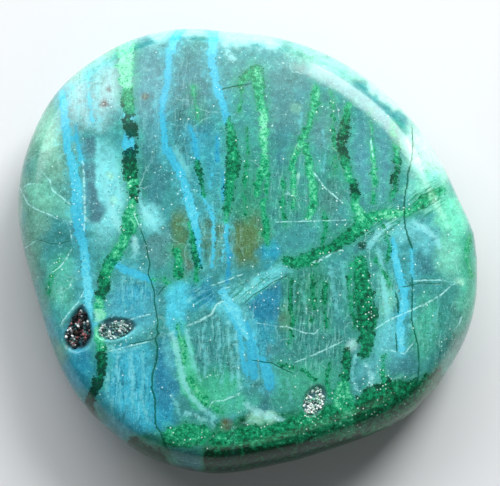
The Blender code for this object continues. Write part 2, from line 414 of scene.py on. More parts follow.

# Panes of quartz with a clearer edge, and over the near wall dark panes that are partly painted shade:
# colour, strength, softness in pixels, corners
PANES = (
    ("smoke", 0.75, 2.5, ((84, 138), (94, 136), (96, 150), (93, 160), (84, 160), (81, 148))),
    ("smoke", 0.75, 2.0, ((81, 163), (92, 161), (96, 168), (95, 180), (84, 180))),
    ("smoke", 0.85, 2.5, ((84, 181), (95, 180), (98, 195), (104, 208), (102, 222), (88, 224), (84, 205))),
    ("smoke", 0.55, 2.5, ((71, 225), (77, 226), (78, 240), (73, 240))),
    ("smoke", 0.65, 2.0, ((92, 272), (99, 272), (99, 294), (94, 292), (91, 282))),
    ("mint", 0.45, 2.5, ((27, 188), (46, 178), (60, 196), (75, 206), (74, 222), (50, 214), (32, 206))),
    ("azure", 0.8, 2.0, ((77, 318), (89, 290), (90, 314), (84, 326))),
    ("sky", 0.8, 3.0, ((168, 284), (180, 280), (189, 285), (189, 300), (186, 318), (184, 334), (174, 338),
                       (166, 326), (167, 306))),
    ("jade", 0.85, 3.0, ((172, 340), (186, 336), (193, 352), (200, 376), (206, 396), (196, 404), (182, 392),
                        (176, 362))),
    ("leaf", 0.7, 3.0, ((186, 372), (198, 374), (210, 392), (206, 408), (196, 410), (184, 396))),
    ("aqua", 0.8, 3.0, ((212, 306), (232, 294), (255, 278), (282, 262), (289, 272), (262, 290), (244, 304),
                        (222, 312))),
    ("deep_azure", 0.7, 2.0, ((249, 305), (262, 292), (280, 280), (281, 300), (276, 322), (256, 318))),
    ("malachite", 1.0, 3.0, ((440, 366), (431, 374), (420, 379), (403, 381), (387, 382), (375, 387),
                             (362, 394), (356, 405), (330, 402), (290, 412), (250, 414), (215, 424),
                             (206, 440), (200, 474), (300, 466), (380, 440), (430, 405), (447, 380))),
    ("slate", 0.6, 2.0, ((406, 352), (414, 342), (420, 372), (404, 378))),
    # Painted shade: near-black over the near wall, partly dark malachite and partly painted shade where that
    # wall faces away from the light
    ("night", 0.9, 3.0, ((204, 449), (245, 444), (300, 439), (345, 434), (392, 420), (430, 398), (440, 402),
                         (400, 440), (300, 470), (205, 480))),
    ("night", 0.85, 3.0, ((118, 440), (150, 456), (172, 462), (206, 470), (206, 480), (150, 474),
                          (110, 450))),
    ("deep_teal", 0.7, 2.5, ((171, 450), (201, 447), (200, 470), (176, 466))),
    ("sky", 0.35, 3.0, ((103, 352), (150, 342), (154, 372), (150, 432), (128, 440), (104, 410))),
    ("leaf", 0.6, 2.5, ((228, 447), (237, 447), (238, 464), (229, 464))),
    ("deep_teal", 0.9, 2.0, ((301, 438), (318, 436), (318, 450), (302, 452))),
    ("fern", 0.6, 3.0, ((130, 432), (160, 440), (166, 456), (150, 462), (132, 450))),
)

# Turquoise chrysocolla veins: across, down and width in pixels, tone from 0 (pale) to 1 (deep)
TURQUOISE = (
    ((62, 92, 6, 0.15), (65, 113, 8, 0.25), (66, 128, 9, 0.3), (67, 146, 8, 0.35), (71, 161, 9, 0.3),
     (75, 176, 10, 0.3), (77, 200, 12, 0.3), (78, 213, 13, 0.35), (80, 232, 11, 0.4), (84, 247, 9, 0.3),
     (86, 274, 9, 0.2), (88, 296, 9, 0.15), (89, 312, 8, 0.2), (90, 330, 6, 0.3)),
    ((76, 126, 3, 0.5), (77, 140, 4, 0.45), (80, 152, 4, 0.4), (82, 163, 4, 0.3)),
    ((88, 72, 2, 0.1), (90, 106, 3, 0.2), (93, 120, 4, 0.2)),
    ((128, 112, 11, 0.2), (129, 119, 10, 0.2)),
    ((128.5, 134, 10, 0.4), (128.5, 144, 13, 0.35), (128.5, 152, 11, 0.4)),
    ((99.5, 320, 10, 0.2), (99.5, 327, 11, 0.25)),
    ((184, 24, 9, 0.15), (182, 29, 8, 0.2), (176, 36, 8, 0.25), (173, 46, 8, 0.3), (169, 56, 8, 0.35),
     (168, 68, 7, 0.35), (168, 80, 6, 0.4), (166, 89, 7, 0.4), (163, 101, 7, 0.4), (162, 112, 6, 0.45),
     (162.5, 122, 6, 0.45), (164, 132, 6, 0.4), (166, 147, 8, 0.4), (171, 157, 8, 0.4),
     (176, 166, 9, 0.4), (181, 174, 8, 0.35), (185, 185, 8, 0.3), (187, 193, 9, 0.3),
     (190, 203, 10, 0.25), (194, 216, 11, 0.25), (195, 228, 10, 0.3), (198, 240, 7, 0.35),
     (199, 252, 5, 0.4), (199, 265, 4, 0.45)),
    ((214, 26, 9, 0.15), (213.5, 34, 9, 0.2), (213, 44, 9, 0.25), (212, 56, 9, 0.3), (213.5, 72, 8, 0.35),
     (217, 88, 8, 0.35), (221, 98, 8, 0.35), (225, 110, 7, 0.4), (226, 121, 6, 0.4)),
    ((226, 222, 5, 0.3), (226, 236, 5, 0.35), (227, 244, 5, 0.4), (229, 256, 5, 0.6), (229, 266, 4, 0.6),
     (227, 282, 4, 0.6)),
    ((190, 128, 3, 0.5), (195, 140, 6, 0.5), (196, 152, 6, 0.5), (197, 160, 5, 0.5)),
    ((199, 177, 2, 0.2), (199, 189, 2, 0.2)),
    ((200, 190, 3, 0.4), (203, 197, 4, 0.3), (208, 206, 4, 0.3), (211, 214, 4, 0.3), (213.5, 224, 4, 0.3),
     (213.5, 236, 4, 0.3), (213, 252, 3, 0.3), (212, 268, 2.5, 0.3)),
    ((217, 136, 3, 0.6), (217, 160, 3, 0.6)),
    ((222, 170, 3, 0.6), (224, 182, 3, 0.6), (223, 200, 2.5, 0.5)),
    ((212, 170, 2, 0.3), (210, 187, 2, 0.3)),
    ((224, 244, 2, 0.15), (221, 266, 2, 0.2)),
    ((393, 240, 5, 0.3), (394, 250, 7, 0.25), (396, 262, 7, 0.25), (399, 274, 8, 0.3), (403, 286, 9, 0.3),
     (404, 298, 9, 0.3), (403, 310, 9, 0.25), (400, 320, 8, 0.3), (401, 330, 8, 0.2), (400, 340, 7, 0.15),
     (402, 350, 6, 0.2)),
    ((412, 250, 2.5, 0.3), (412, 262, 3, 0.3), (412, 277, 2.5, 0.3)),
    ((111, 262, 5, 0.4), (118, 266, 7, 0.4), (127, 271, 8, 0.4), (140, 275, 8, 0.4), (146, 278, 7, 0.45),
     (152, 281, 5, 0.5)),
    ((222, 292, 8, 0.2), (226, 299, 10, 0.15), (232, 309, 11, 0.15), (239, 320, 10, 0.2),
     (244, 330, 9, 0.2), (248, 338, 8, 0.2)),
    ((230, 314, 4, 0.3), (239, 330, 5, 0.35), (242, 346, 6, 0.35), (243, 362, 6, 0.4), (248, 375, 6, 0.4)),
    ((247, 322, 5, 0.45), (250, 340, 8, 0.4), (252, 358, 10, 0.45), (253, 375, 9, 0.45)),
    ((253, 334, 3, 0.2), (256, 346, 3, 0.3), (259, 358, 3, 0.3)),
    ((262, 360, 8, 0.4), (267, 372, 12, 0.4), (270, 386, 10, 0.45)),
)

# Pale wisps and frosted streaks in the quartz: across, down and width in pixels, tone
WISPS = (
    ((72, 84, 3, 0.2), (76, 100, 4, 0.2), (80, 118, 3, 0.25)),
    ((100, 60, 4, 0.1), (98, 84, 4, 0.15), (97, 110, 3, 0.2), (99, 130, 4, 0.2)),
    ((98, 140, 4, 0.25), (101, 160, 5, 0.2), (104, 180, 6, 0.15), (108, 200, 7, 0.15), (114, 218, 8, 0.1),
     (122, 230, 8, 0.1)),
    ((112, 150, 3, 0.3), (116, 172, 4, 0.2), (118, 190, 5, 0.2), (121, 206, 6, 0.15)),
    ((140, 190, 3, 0.3), (141, 202, 5, 0.2), (146, 214, 8, 0.1), (152, 222, 7, 0.15), (158, 232, 4, 0.3)),
    ((134, 238, 7, 0.05), (136, 248, 8, 0.1), (134, 258, 5, 0.2)),
    ((120, 262, 3, 0.3), (123, 276, 2.5, 0.3), (122, 292, 2, 0.35), (125, 306, 1.6, 0.4)),
    ((131, 268, 2.5, 0.2), (132, 282, 2, 0.3), (130, 300, 1.6, 0.35)),
    ((142, 270, 2.5, 0.2), (141, 286, 2, 0.3), (143, 304, 1.6, 0.35)),
    ((110, 270, 2, 0.3), (113, 290, 2, 0.35), (112, 308, 1.6, 0.4)),
    ((176, 150, 7, 0.3), (182, 162, 8, 0.3), (190, 178, 6, 0.35)),
    ((232, 58, 9, 0.05), (226, 52, 8, 0.1)),
    ((188, 300, 3, 0.2), (196, 296, 2, 0.3), (206, 288, 2, 0.3)),
    ((106, 346, 4, 0.2), (118, 352, 5, 0.2), (128, 350, 4, 0.25), (140, 346, 3, 0.2)),
    ((118, 356, 3, 0.15), (116, 372, 3, 0.2), (120, 386, 2.5, 0.3), (118, 402, 2, 0.35)),
    ((130, 356, 3, 0.2), (134, 376, 3, 0.2), (132, 396, 3, 0.25), (136, 418, 2, 0.3)),
    ((108, 372, 3, 0.2), (106, 388, 3, 0.25), (112, 408, 2.5, 0.3), (114, 426, 2, 0.3)),
    ((142, 352, 2.5, 0.25), (144, 372, 3, 0.25), (141, 396, 2.5, 0.3), (147, 420, 2, 0.3)),
    ((164, 338, 2.5, 0.3), (162, 352, 2, 0.4)),
    ((172, 334, 6, 0.1), (176, 346, 7, 0.1), (179, 360, 7, 0.15), (182, 374, 7, 0.15), (186, 388, 7, 0.15),
     (194, 400, 6, 0.15), (204, 410, 5, 0.15), (214, 418, 4, 0.2)),
    ((187, 332, 4, 0.15), (190, 348, 4, 0.2), (194, 364, 4, 0.2), (200, 380, 3, 0.2)),
    ((204, 324, 2.5, 0.2), (203, 340, 2.5, 0.25), (206, 358, 2.5, 0.25), (205, 376, 2, 0.3)),
    ((216, 316, 2.5, 0.2), (220, 334, 2.5, 0.2), (218, 352, 2.5, 0.25), (222, 370, 2, 0.25),
     (221, 390, 2, 0.3)),
    ((228, 322, 2.5, 0.2), (229, 342, 3, 0.2), (233, 360, 3, 0.2), (232, 380, 2.5, 0.25)),
    ((236, 334, 3, 0.15), (238, 352, 3, 0.2), (238, 370, 3, 0.2), (240, 388, 4, 0.15)),
    ((172, 396, 3, 0.2), (178, 406, 2.5, 0.25), (180, 418, 2, 0.3)),
    ((186, 412, 2.5, 0.15), (200, 418, 3, 0.1), (214, 424, 3, 0.15)),
    ((292, 270, 2, 0.4), (294, 290, 2.5, 0.4), (293, 312, 2, 0.45)),
    ((304, 272, 2.5, 0.4), (303, 292, 2, 0.45), (305, 314, 2, 0.45)),
    ((331, 268, 4, 0.3), (333, 286, 4, 0.3), (336, 304, 3, 0.35), (337, 318, 2, 0.4)),
    ((342, 264, 3, 0.35), (344, 282, 3, 0.4), (345, 300, 2, 0.4)),
    ((286, 380, 2.5, 0.35), (290, 392, 2.5, 0.35), (292, 404, 2, 0.4)),
    ((356, 356, 3, 0.15), (352, 372, 3, 0.2), (356, 388, 3, 0.15), (362, 396, 3, 0.15)),
    ((366, 364, 4, 0.1), (372, 376, 5, 0.1), (370, 388, 5, 0.1), (378, 392, 4, 0.15)),
    ((378, 250, 5, 0.2), (382, 268, 6, 0.2), (384, 286, 7, 0.2), (386, 302, 6, 0.2), (388, 318, 5, 0.25)),
    ((388, 226, 7, 0.15), (376, 236, 7, 0.15), (368, 248, 5, 0.2)),
    ((414, 222, 5, 0.15), (424, 228, 6, 0.1), (434, 236, 6, 0.1), (440, 248, 5, 0.15)),
    ((410, 326, 2.5, 0.2), (416, 316, 2, 0.25)),
    ((436, 312, 2, 0.35), (430, 334, 2, 0.4), (432, 352, 2, 0.4)),
    ((302, 112, 3, 0.35), (300, 128, 3, 0.35)),
    ((322, 130, 2, 0.3), (326, 152, 2, 0.35), (324, 172, 2, 0.35)),
    ((246, 404, 5, 0.1), (256, 412, 7, 0.05), (270, 416, 7, 0.05), (282, 420, 5, 0.1)),
    ((233, 430, 6, 0.15), (234, 440, 6, 0.2), (233, 462, 5, 0.4)),
)

# Malachite veins: across, down and width in pixels, tone from 0 (cream) to 1 (nearly black)
MALACHITE = (
    ((126, 40, 16, 0.05), (126, 52, 16, 0.1), (125, 66, 15, 0.12), (126, 84, 12, 0.1)),
    ((127, 92, 11, 0.5), (128, 100, 14, 0.6), (129, 110, 12, 0.6)),
    ((128, 121, 10, 0.85), (130, 127, 15, 0.95), (131, 132, 14, 0.95)),
    ((136, 124, 4, 1), (136.5, 140, 3, 1), (136, 153, 4, 0.95)),
    ((129.5, 154, 13, 0.95), (129.5, 160, 15, 0.95), (130, 168, 15, 0.85), (130, 178, 14, 0.7)),
    ((131, 180, 12, 0.3), (132, 185, 12, 0.35)),
    ((133, 187, 11, 0.7), (133.5, 196, 11, 0.75)),
    ((133, 199, 5, 0.4), (131, 210, 12, 0.45), (131, 220, 17, 0.5), (128, 231, 15, 0.5),
     (126, 236, 11, 0.45), (121, 245, 11, 0.4), (117, 252, 11, 0.45), (112, 261, 11, 0.5),
     (107, 270, 12, 0.55), (105, 279, 12, 0.7), (103.5, 288, 12, 0.75), (101.5, 296, 10, 0.75)),
    ((99.5, 300, 10, 0.4), (99, 306, 11, 0.35)),
    ((99, 312, 10, 0.02), (99, 318, 10, 0.05)),
    ((99.5, 330, 10, 0.25), (100, 338, 11, 0.3), (100.5, 343, 10, 0.45), (101, 349, 10, 0.55)),
    ((101, 355, 10, 0.85), (101.5, 362, 11, 0.9), (101, 370, 11, 0.95), (100, 377, 10, 1),
     (98, 381, 10, 0.95), (95, 387, 10, 0.9), (92, 393, 9, 0.9), (89.5, 400, 9, 0.95), (90, 407, 8, 0.95),
     (92, 413, 7, 1), (95, 419, 5, 1)),
    ((228, 120, 4, 0.5), (230, 126, 8, 0.6), (231.5, 134, 10, 0.65), (232, 144, 10, 0.6),
     (233.5, 154, 12, 0.65), (233.5, 164, 14, 0.7), (231.5, 176, 12, 0.65), (230, 188, 11, 0.7),
     (229, 198, 9, 0.65), (227.5, 206, 7, 0.6), (227, 214, 7, 0.6), (226, 222, 5, 0.4)),
    ((240, 84, 8, 0.55), (245, 78, 10, 0.6), (250, 74, 9, 0.55)),
    ((243, 90, 3, 0.5), (241, 100, 3, 0.45), (238, 112, 3, 0.4)),
    ((193, 88, 3, 0.3), (194, 96, 4, 0.5), (197, 106, 3, 0.4), (199, 118, 3, 0.35)),
    ((196, 160, 4, 0.6), (198, 168, 6, 0.7), (201, 178, 6, 0.75), (202.5, 188, 6, 0.7), (204, 197, 4, 0.5)),
    ((256, 72, 12, 0.45), (258, 82, 14, 0.5), (259, 92, 12, 0.55), (261, 104, 9, 0.4),
     (263.5, 116, 9, 0.25), (263.5, 124, 9, 0.2), (264, 136, 8, 0.2), (264.5, 148, 7, 0.35),
     (265, 160, 8, 0.4), (262, 172, 11, 0.45), (258, 184, 8, 0.5), (257, 196, 6, 0.5)),
    ((266.5, 166, 4, 0.4), (267, 180, 5, 0.5), (266, 196, 5, 0.5), (263, 204, 6, 0.45), (264, 214, 6, 0.5),
     (266, 228, 6, 0.5), (267, 242, 6, 0.45)),
    ((263.5, 150, 2, 1), (263, 168, 5, 0.9), (263, 177, 4, 0.85)),
    ((316, 88, 5, 0.3), (316, 95, 9, 0.4), (315, 104, 8, 0.4), (312, 114, 6, 0.45), (309, 126, 6, 0.5),
     (304, 136, 9, 0.5), (300, 145, 9, 0.45)),
    ((296, 152, 8, 0.45), (293, 164, 7, 0.45), (293, 176, 6, 0.4), (294, 190, 5, 0.35), (294, 206, 4, 0.35)),
    ((305, 143, 7, 0.45), (309, 160, 8, 0.45), (311, 176, 8, 0.4), (313, 192, 10, 0.45),
     (313, 204, 9, 0.45), (309, 218, 7, 0.4)),
    ((349, 106, 6, 0.3), (347, 112, 7, 0.5), (345, 120, 9, 0.65), (343.5, 132, 11, 0.85),
     (342, 140, 11, 0.95), (341.5, 149, 11, 0.95), (343, 156, 10, 0.75), (346, 164, 9, 0.6),
     (348, 172, 8, 0.5), (350, 179, 8, 0.4), (353, 184, 9, 0.85), (354, 191, 10, 0.98),
     (355, 197, 10, 0.6), (356, 204, 9, 0.35), (359, 212, 10, 0.35), (362, 220, 12, 0.4)),
    ((369, 112, 3, 0.25), (371, 120, 4, 0.35), (371.5, 134, 3, 0.4), (372, 150, 3, 0.3),
     (374, 164, 5, 0.35), (375, 176, 5, 0.35), (374, 188, 4, 0.4), (373, 202, 4, 0.5)),
    ((393, 126, 6, 0.25), (394, 135, 7, 0.4), (396, 146, 7, 0.45), (397, 156, 7, 0.5),
     (396.5, 168, 6, 0.75), (396, 177, 7, 0.85), (395, 188, 6, 0.7), (392, 199, 6, 0.5)),
    ((408, 212, 8, 0.4), (392, 214, 10, 0.35), (374, 216, 10, 0.45), (364, 225, 13, 0.5),
     (353, 233, 12, 0.6), (341, 242, 12, 0.65), (327, 249, 11, 0.7), (313, 255, 11, 0.65),
     (300, 260, 9, 0.6)),
    ((189, 222, 4, 0.4), (190.5, 232, 5, 0.5), (193, 243, 5, 0.55), (196, 256, 5, 0.6),
     (197, 266, 5, 0.6), (196, 280, 4, 0.4)),
    ((178, 251, 8, 0.5), (179, 262, 10, 0.55), (178, 274, 9, 0.5)),
    ((151, 279.5, 2, 0.35), (162, 279.5, 3, 0.35), (170, 283, 2.5, 0.4)),
    ((359, 262, 13, 0.6), (361, 275, 16, 0.65), (363, 290, 20, 0.7), (365, 305, 20, 0.75),
     (368, 320, 22, 0.75), (367, 335, 17, 0.75), (365, 352, 13, 0.7)),
    ((375, 258, 4, 0.5), (384, 274, 4, 0.5), (391, 286, 4, 0.5)),
    ((347, 352, 7, 0.7), (346, 366, 10, 0.75), (344, 380, 9, 0.65)),
    ((343, 386, 14, 0.45), (343, 400, 22, 0.45), (345, 415, 24, 0.5), (347, 428, 20, 0.55)),
    ((279, 364, 2.5, 0.6), (294, 368, 2.5, 0.5), (306, 373, 2.5, 0.5), (315, 381, 2.5, 0.5)),
    ((286, 262, 8, 0.6), (300, 262, 12, 0.6), (316, 262, 8, 0.7)),
    ((330, 92, 2, 0.4), (334, 110, 3, 0.45), (333, 128, 3, 0.5), (336, 150, 3, 0.5), (335, 172, 2, 0.5)),
    ((282, 176, 2, 0.45), (284, 192, 3, 0.45), (282, 208, 3, 0.5), (285, 224, 3, 0.5)),
    ((324, 212, 3, 0.5), (326, 228, 3, 0.55), (322, 244, 4, 0.6)),
    ((246, 128, 2, 0.5), (248, 150, 2.5, 0.5), (246, 172, 3, 0.5), (244, 196, 3, 0.5), (246, 214, 2, 0.5)),
    ((292, 278, 3, 0.6), (290, 300, 3, 0.6), (293, 320, 3, 0.55), (290, 342, 2, 0.55)),
    ((312, 276, 3, 0.6), (314, 300, 4, 0.6), (311, 322, 3, 0.6)),
    ((326, 284, 3, 0.55), (324, 306, 3, 0.6), (327, 326, 3, 0.6)),
    ((384, 226, 3, 0.5), (390, 246, 3, 0.55), (387, 262, 2, 0.5)),
    ((352, 262, 4, 0.5), (350, 284, 5, 0.55), (352, 306, 5, 0.6), (356, 330, 5, 0.7)),
    ((384, 356, 3, 0.5), (383, 374, 4, 0.5), (386, 390, 3, 0.6)),
    ((330, 364, 3, 0.6), (326, 380, 4, 0.55), (330, 396, 5, 0.5)),
    ((190, 380, 6, 0.35), (198, 392, 8, 0.35), (208, 404, 6, 0.4), (222, 412, 4, 0.45)),
    ((178, 326, 4, 0.4), (182, 344, 5, 0.35), (184, 362, 4, 0.4)),
    ((60, 262, 3, 0.4), (52, 278, 4, 0.4), (48, 294, 3, 0.45)),
    ((470, 236, 4, 0.4), (466, 256, 5, 0.4), (472, 276, 4, 0.4)),
    ((410, 212, 6, 0.45), (420, 204, 9, 0.5), (432, 196, 9, 0.5), (443, 190, 6, 0.45)),
)

# Patches of malachite, those on the near wall partly painted shade: tone, corners
MALACHITE_PATCHES = (
    (0.75, ((440, 366), (431, 374), (420, 379), (403, 381), (387, 381), (375, 385), (362, 392), (352, 405),
            (352, 425), (360, 445), (400, 430), (430, 405), (445, 385))),
    (0.62, ((270, 426), (300, 414), (330, 404), (350, 402), (352, 440), (300, 446), (250, 450), (214, 452),
            (208, 440), (230, 430), (252, 424))),
    # The last two patches lie on the near wall: dark malachite, made darker still as painted shade
    (0.9, ((128, 436), (148, 444), (166, 452), (172, 470), (150, 468), (126, 450))),
    (0.95, ((204, 452), (245, 446), (300, 441), (345, 436), (392, 424), (430, 400), (444, 398), (400, 444),
            (300, 474), (205, 484))),
    (0.55, ((160, 432), (172, 426), (190, 423), (206, 426), (214, 434), (205, 446), (180, 447), (165, 444))),
)

# Thin dark cracks and veins: across, down and width in pixels
CRACKS = (
    ((412, 130, 1.2), (413, 146, 1.6), (411.6, 160, 1.8), (410, 166, 2), (408, 174, 2.2), (407, 185, 2),
     (405, 194, 2), (404, 205, 2), (404.4, 216, 2), (405, 226, 2), (407, 234, 2.2), (410, 242, 2.2),
     (412, 248, 1.8)),
    ((412, 278, 1.4), (412.4, 290, 1.8), (412, 306, 1.8), (411.6, 319, 1.8), (413, 327, 2),
     (415.6, 336, 2), (418, 346, 2.2), (419, 362, 2), (419, 367, 2), (418, 377, 2), (416, 387, 2),
     (415, 395, 2), (415, 400, 2), (417, 403, 2)),
    ((140, 228, 1.2), (146, 244, 1.4), (148, 256, 1.6), (150, 264, 1.8), (148, 274, 1.8),
     (151.5, 282, 1.6), (154, 290, 1.6), (154, 299, 1.8), (156, 310, 1.6), (157, 316, 1.4),
     (158, 323, 1.6), (157, 330, 1.8), (159, 334, 1.8), (155, 338, 2), (157, 344, 2), (157.5, 354, 2),
     (156, 363, 2), (153, 370, 2.2), (152, 379, 2.4), (152, 389, 2.4), (155, 398, 2.2), (155, 407, 2.2),
     (155, 417, 2.4), (156, 426, 2.4), (161, 433, 2.4), (163.5, 441, 2.4), (167, 448, 2.4), (169, 451, 2)),
    ((165, 286, 1.2), (158, 295, 1.2)),
    ((223, 89, 1.6), (232, 87, 1.8), (250, 84, 1.4)),
    ((396, 335, 1.6), (397, 350, 1.6)),
    ((396, 294, 2.4), (398, 303, 3), (398, 312, 2)),
    ((39, 240, 1), (51, 244, 1), (58, 244, 1), (70, 241, 1)),
    ((403, 287, 1.2), (421, 283, 1.2), (440, 284, 1)),
    ((253, 360, 1.2), (263, 362, 1.6), (272, 363, 1.6), (281, 368, 1.4), (292, 373, 1.2)),
    ((245, 303, 1), (253, 295, 1), (265, 288, 1), (273, 282, 1), (287, 276, 1)),
    ((130, 344, 1), (151, 340, 1)),
)

# Thin pale lines: across, down and width in pixels
SEAMS = (
    ((20, 188, 1.4), (28, 204, 1.6), (36, 209, 1.6), (48, 214, 1.6), (60, 220, 1.4), (71, 222, 1.4)),
    ((44, 174, 1.2), (50, 181, 1.4), (53, 191, 1.4), (60, 196, 1.6), (69, 203, 1.6)),
    ((25, 186, 1.6), (29, 183.5, 1.8), (34, 184, 1.4)),
    ((25, 248, 1.2), (36, 241, 1.2)),
    ((67, 222, 1.4), (70, 230, 1.4), (72, 241, 1.2)),
    ((83, 163, 2), (84, 180, 2), (84.5, 200, 2), (85, 214, 2), (84, 230, 1.6)),
    ((71, 250, 1.4), (68, 256, 1.4), (60, 267, 1.4), (54, 271, 1.2), (49, 275, 1.2)),
    ((83, 293, 1.4), (79, 301, 1.4), (67, 315, 1.4), (61, 324, 1.2)),
    ((106, 327, 1.4), (119, 325, 1.6), (135, 318, 1.6), (150, 314, 1.4)),
    ((106, 352, 1.2), (130, 346, 1.4), (151, 341, 1.2)),
    ((187, 326, 1.8), (194, 323, 2), (203, 319, 2.2), (212, 314, 2), (216, 305, 1.8), (223, 301, 1.6)),
    ((213, 285, 1.2), (230, 279, 1.2), (243, 274, 1.2)),
    ((222, 289, 1.2), (234, 286, 1.2)),
    ((257, 323, 1), (275, 326, 1.2), (287, 327, 1.6), (305, 333, 1.6), (314, 334, 1.4), (319, 329, 1.2)),
    ((296, 362, 1), (316, 354, 1.4), (341, 342, 1.4)),
    ((314, 262, 2), (321, 260, 2.2), (325, 258, 1.8), (333, 253, 1.8), (341, 250, 1.4)),
    ((315, 174, 1.6), (325, 188, 1.6), (341, 201, 1.4)),
    ((277, 222, 1), (312, 221, 1.2), (349, 220, 1)),
    ((371, 141, 1.8), (371.5, 148, 2), (373, 156, 1.4)),
    ((415, 281, 1.2), (425, 280, 1.4), (440, 280, 1.4), (451, 282, 1.2)),
    ((452, 285, 1.4), (441, 295, 1.6), (427, 303, 1.6), (416, 308, 1.6), (403, 314, 1.4), (391, 319, 1.4),
     (381, 325, 1.4), (374, 330, 1.2)),
    ((379, 349, 1.2), (393, 351, 1.4), (404, 354, 1.2)),
    ((406, 352, 1.2), (414, 342, 1.2)),
    ((461, 318, 1.6), (459, 324, 1.6), (455, 330, 1.2)),
    ((210, 406, 1.4), (213, 401, 1.4), (222, 401, 1.4), (234, 396, 1.4), (240, 393, 1.2)),
    ((140, 228, 1), (134, 214, 1)),
)

# Fields of fine fibres running down the picture, then of fibres slanting up to the right: strength,
# middle and reach in pixels, and for some a turn in degrees
FIBRES = (
    (0.9, 218, 346, 28, 36),
    (0.9, 314, 300, 40, 36),
    (0.8, 318, 344, 38, 30),
    (0.7, 136, 292, 20, 20),
    (0.8, 130, 390, 26, 40),
    (0.5, 256, 340, 16, 50),
    (0.5, 190, 110, 22, 60),
    (0.6, 384, 290, 20, 36),
    (0.5, 440, 330, 26, 40),
    (0.5, 300, 190, 50, 40),
    (0.6, 212, 240, 34, 36),
    (0.4, 150, 120, 14, 60),
    (0.5, 90, 90, 30, 40),
)
SLANTS = (
    (1.0, 427, 199, 22, 16, -38),
    (0.9, 385, 222, 30, 14, -38),
    (0.6, 200, 296, 16, 14),
    (0.6, 250, 288, 40, 12, -28),
    (0.5, 395, 392, 40, 20, -20),
)

# Where white specks are painted as glints of light in the stone, and where dark grains lie, in the same form
PAINTED_GLINT_PLACES = (
    (0.8, 180, 187, 6, 24, -12),
    (0.7, 176, 176, 6, 16, -35),
    (1.0, 332, 105, 12, 10),
    (0.9, 264, 282, 30, 10, -28),
    (0.9, 120, 342, 18, 9, -8),
    (0.8, 140, 332, 26, 8, -18),
    (0.9, 352, 346, 9, 9),
    (0.9, 461, 281, 6, 8),
    (0.7, 374, 378, 16, 18),
    (0.8, 312, 414, 12, 12),
    (0.6, 330, 254, 22, 6, -22),
    (0.6, 384, 226, 34, 12, -36),
    (0.6, 362, 300, 16, 50),
    (0.6, 350, 410, 60, 24, -10),
    (0.5, 126, 200, 12, 30),
    (0.5, 190, 436, 30, 12),
    (0.6, 448, 340, 8, 24, 20),
    (0.5, 78, 190, 8, 60),
    (0.6, 104, 104, 8, 8),
    (0.6, 254, 420, 26, 12),
    (0.5, 50, 268, 10, 24),
    (0.08, 250, 250, 220, 200),
)
GRAINS = (
    (0.8, 106, 102, 8, 10, 30),
    (0.6, 146, 96, 10, 6),
    (0.7, 160, 246, 16, 20),
    (0.8, 334, 106, 12, 10),
    (0.9, 83, 340, 10, 16),
    (0.5, 190, 264, 8, 12),
    (0.6, 350, 410, 70, 28, -10),
    (0.5, 362, 300, 14, 60),
    (0.5, 345, 240, 36, 10, -25),
    (0.3, 250, 250, 230, 210),
)

# Spots: colour, strength, middle and radius in pixels
SPOTS = (
    ("rust", 0.9, 104, 104, 5),
    ("rust", 0.7, 109, 90, 3),
    ("umber", 0.8, 146, 96, 4),
    ("night", 0.9, 363, 246, 5),
    ("umber", 0.8, 227, 424, 7),
    ("night", 0.8, 243, 425, 7),
    ("pale_mint", 0.9, 298, 147, 3),
    ("pale_mint", 0.8, 298, 176, 3),
    ("pearl", 0.9, 352, 346, 6),
    ("pale_mint", 0.9, 461, 281, 5),
    ("pearl", 0.9, 313, 414, 7),
    ("pale_mint", 0.8, 255, 419, 9),
    ("pale_mint", 0.8, 270, 417, 7),
    ("mist", 0.8, 233, 439, 7),
    ("sage", 0.9, 296, 108, 6),
    ("pale_mint", 0.8, 110, 176, 5),
    ("pale_mint", 0.7, 114, 200, 6),
    ("frost", 0.8, 120, 170, 4),
)


def soft_step(value, low, high):
    """0 up to low and 1 from high, smooth between them."""
    step = np.clip((value - low) / (high - low), 0.0, 1.0)
    return step * step * (3.0 - 2.0 * step)


def direction(heading, height=0.0):
    """Unit vector at a heading and a height above the level, both in degrees."""
    heading, height = math.radians(heading), math.radians(height)
    level = math.cos(height)
    return np.array([level * math.cos(heading), level * math.sin(heading), math.sin(height)])


def rim_radius(angles):
    """Distance from the middle to the rim at each angle, on a closed curve through RIM_POINTS."""
    points = np.array(RIM_POINTS)
    before, after, beyond = (np.roll(points, shift, axis=0) for shift in (1, -1, -2))
    curve = []
    for step in np.arange(RIM_STEPS) / RIM_STEPS:
        curve.append(0.5 * (2.0 * points + (after - before) * step
                            + (2.0 * before - 5.0 * points + 4.0 * after - beyond) * step ** 2
                            + (3.0 * points - before - 3.0 * after + beyond) * step ** 3))
    curve = np.concatenate(curve)
    turn = np.arctan2(curve[:, 1], curve[:, 0])
    order = np.argsort(turn)
    radius = np.hypot(curve[:, 0], curve[:, 1])
    return np.interp(angles, turn[order], radius[order], period=2.0 * math.pi)


def edge_width(turn, above):
    """Width of the rounded edge, seen from above, over the rim and under it."""
    shoulder = SHOULDER_WIDTH + SHOULDER_SWING * np.cos(turn - SHOULDER_WIDEST_AT)
    return np.where(above, shoulder, HEEL_WIDTH)


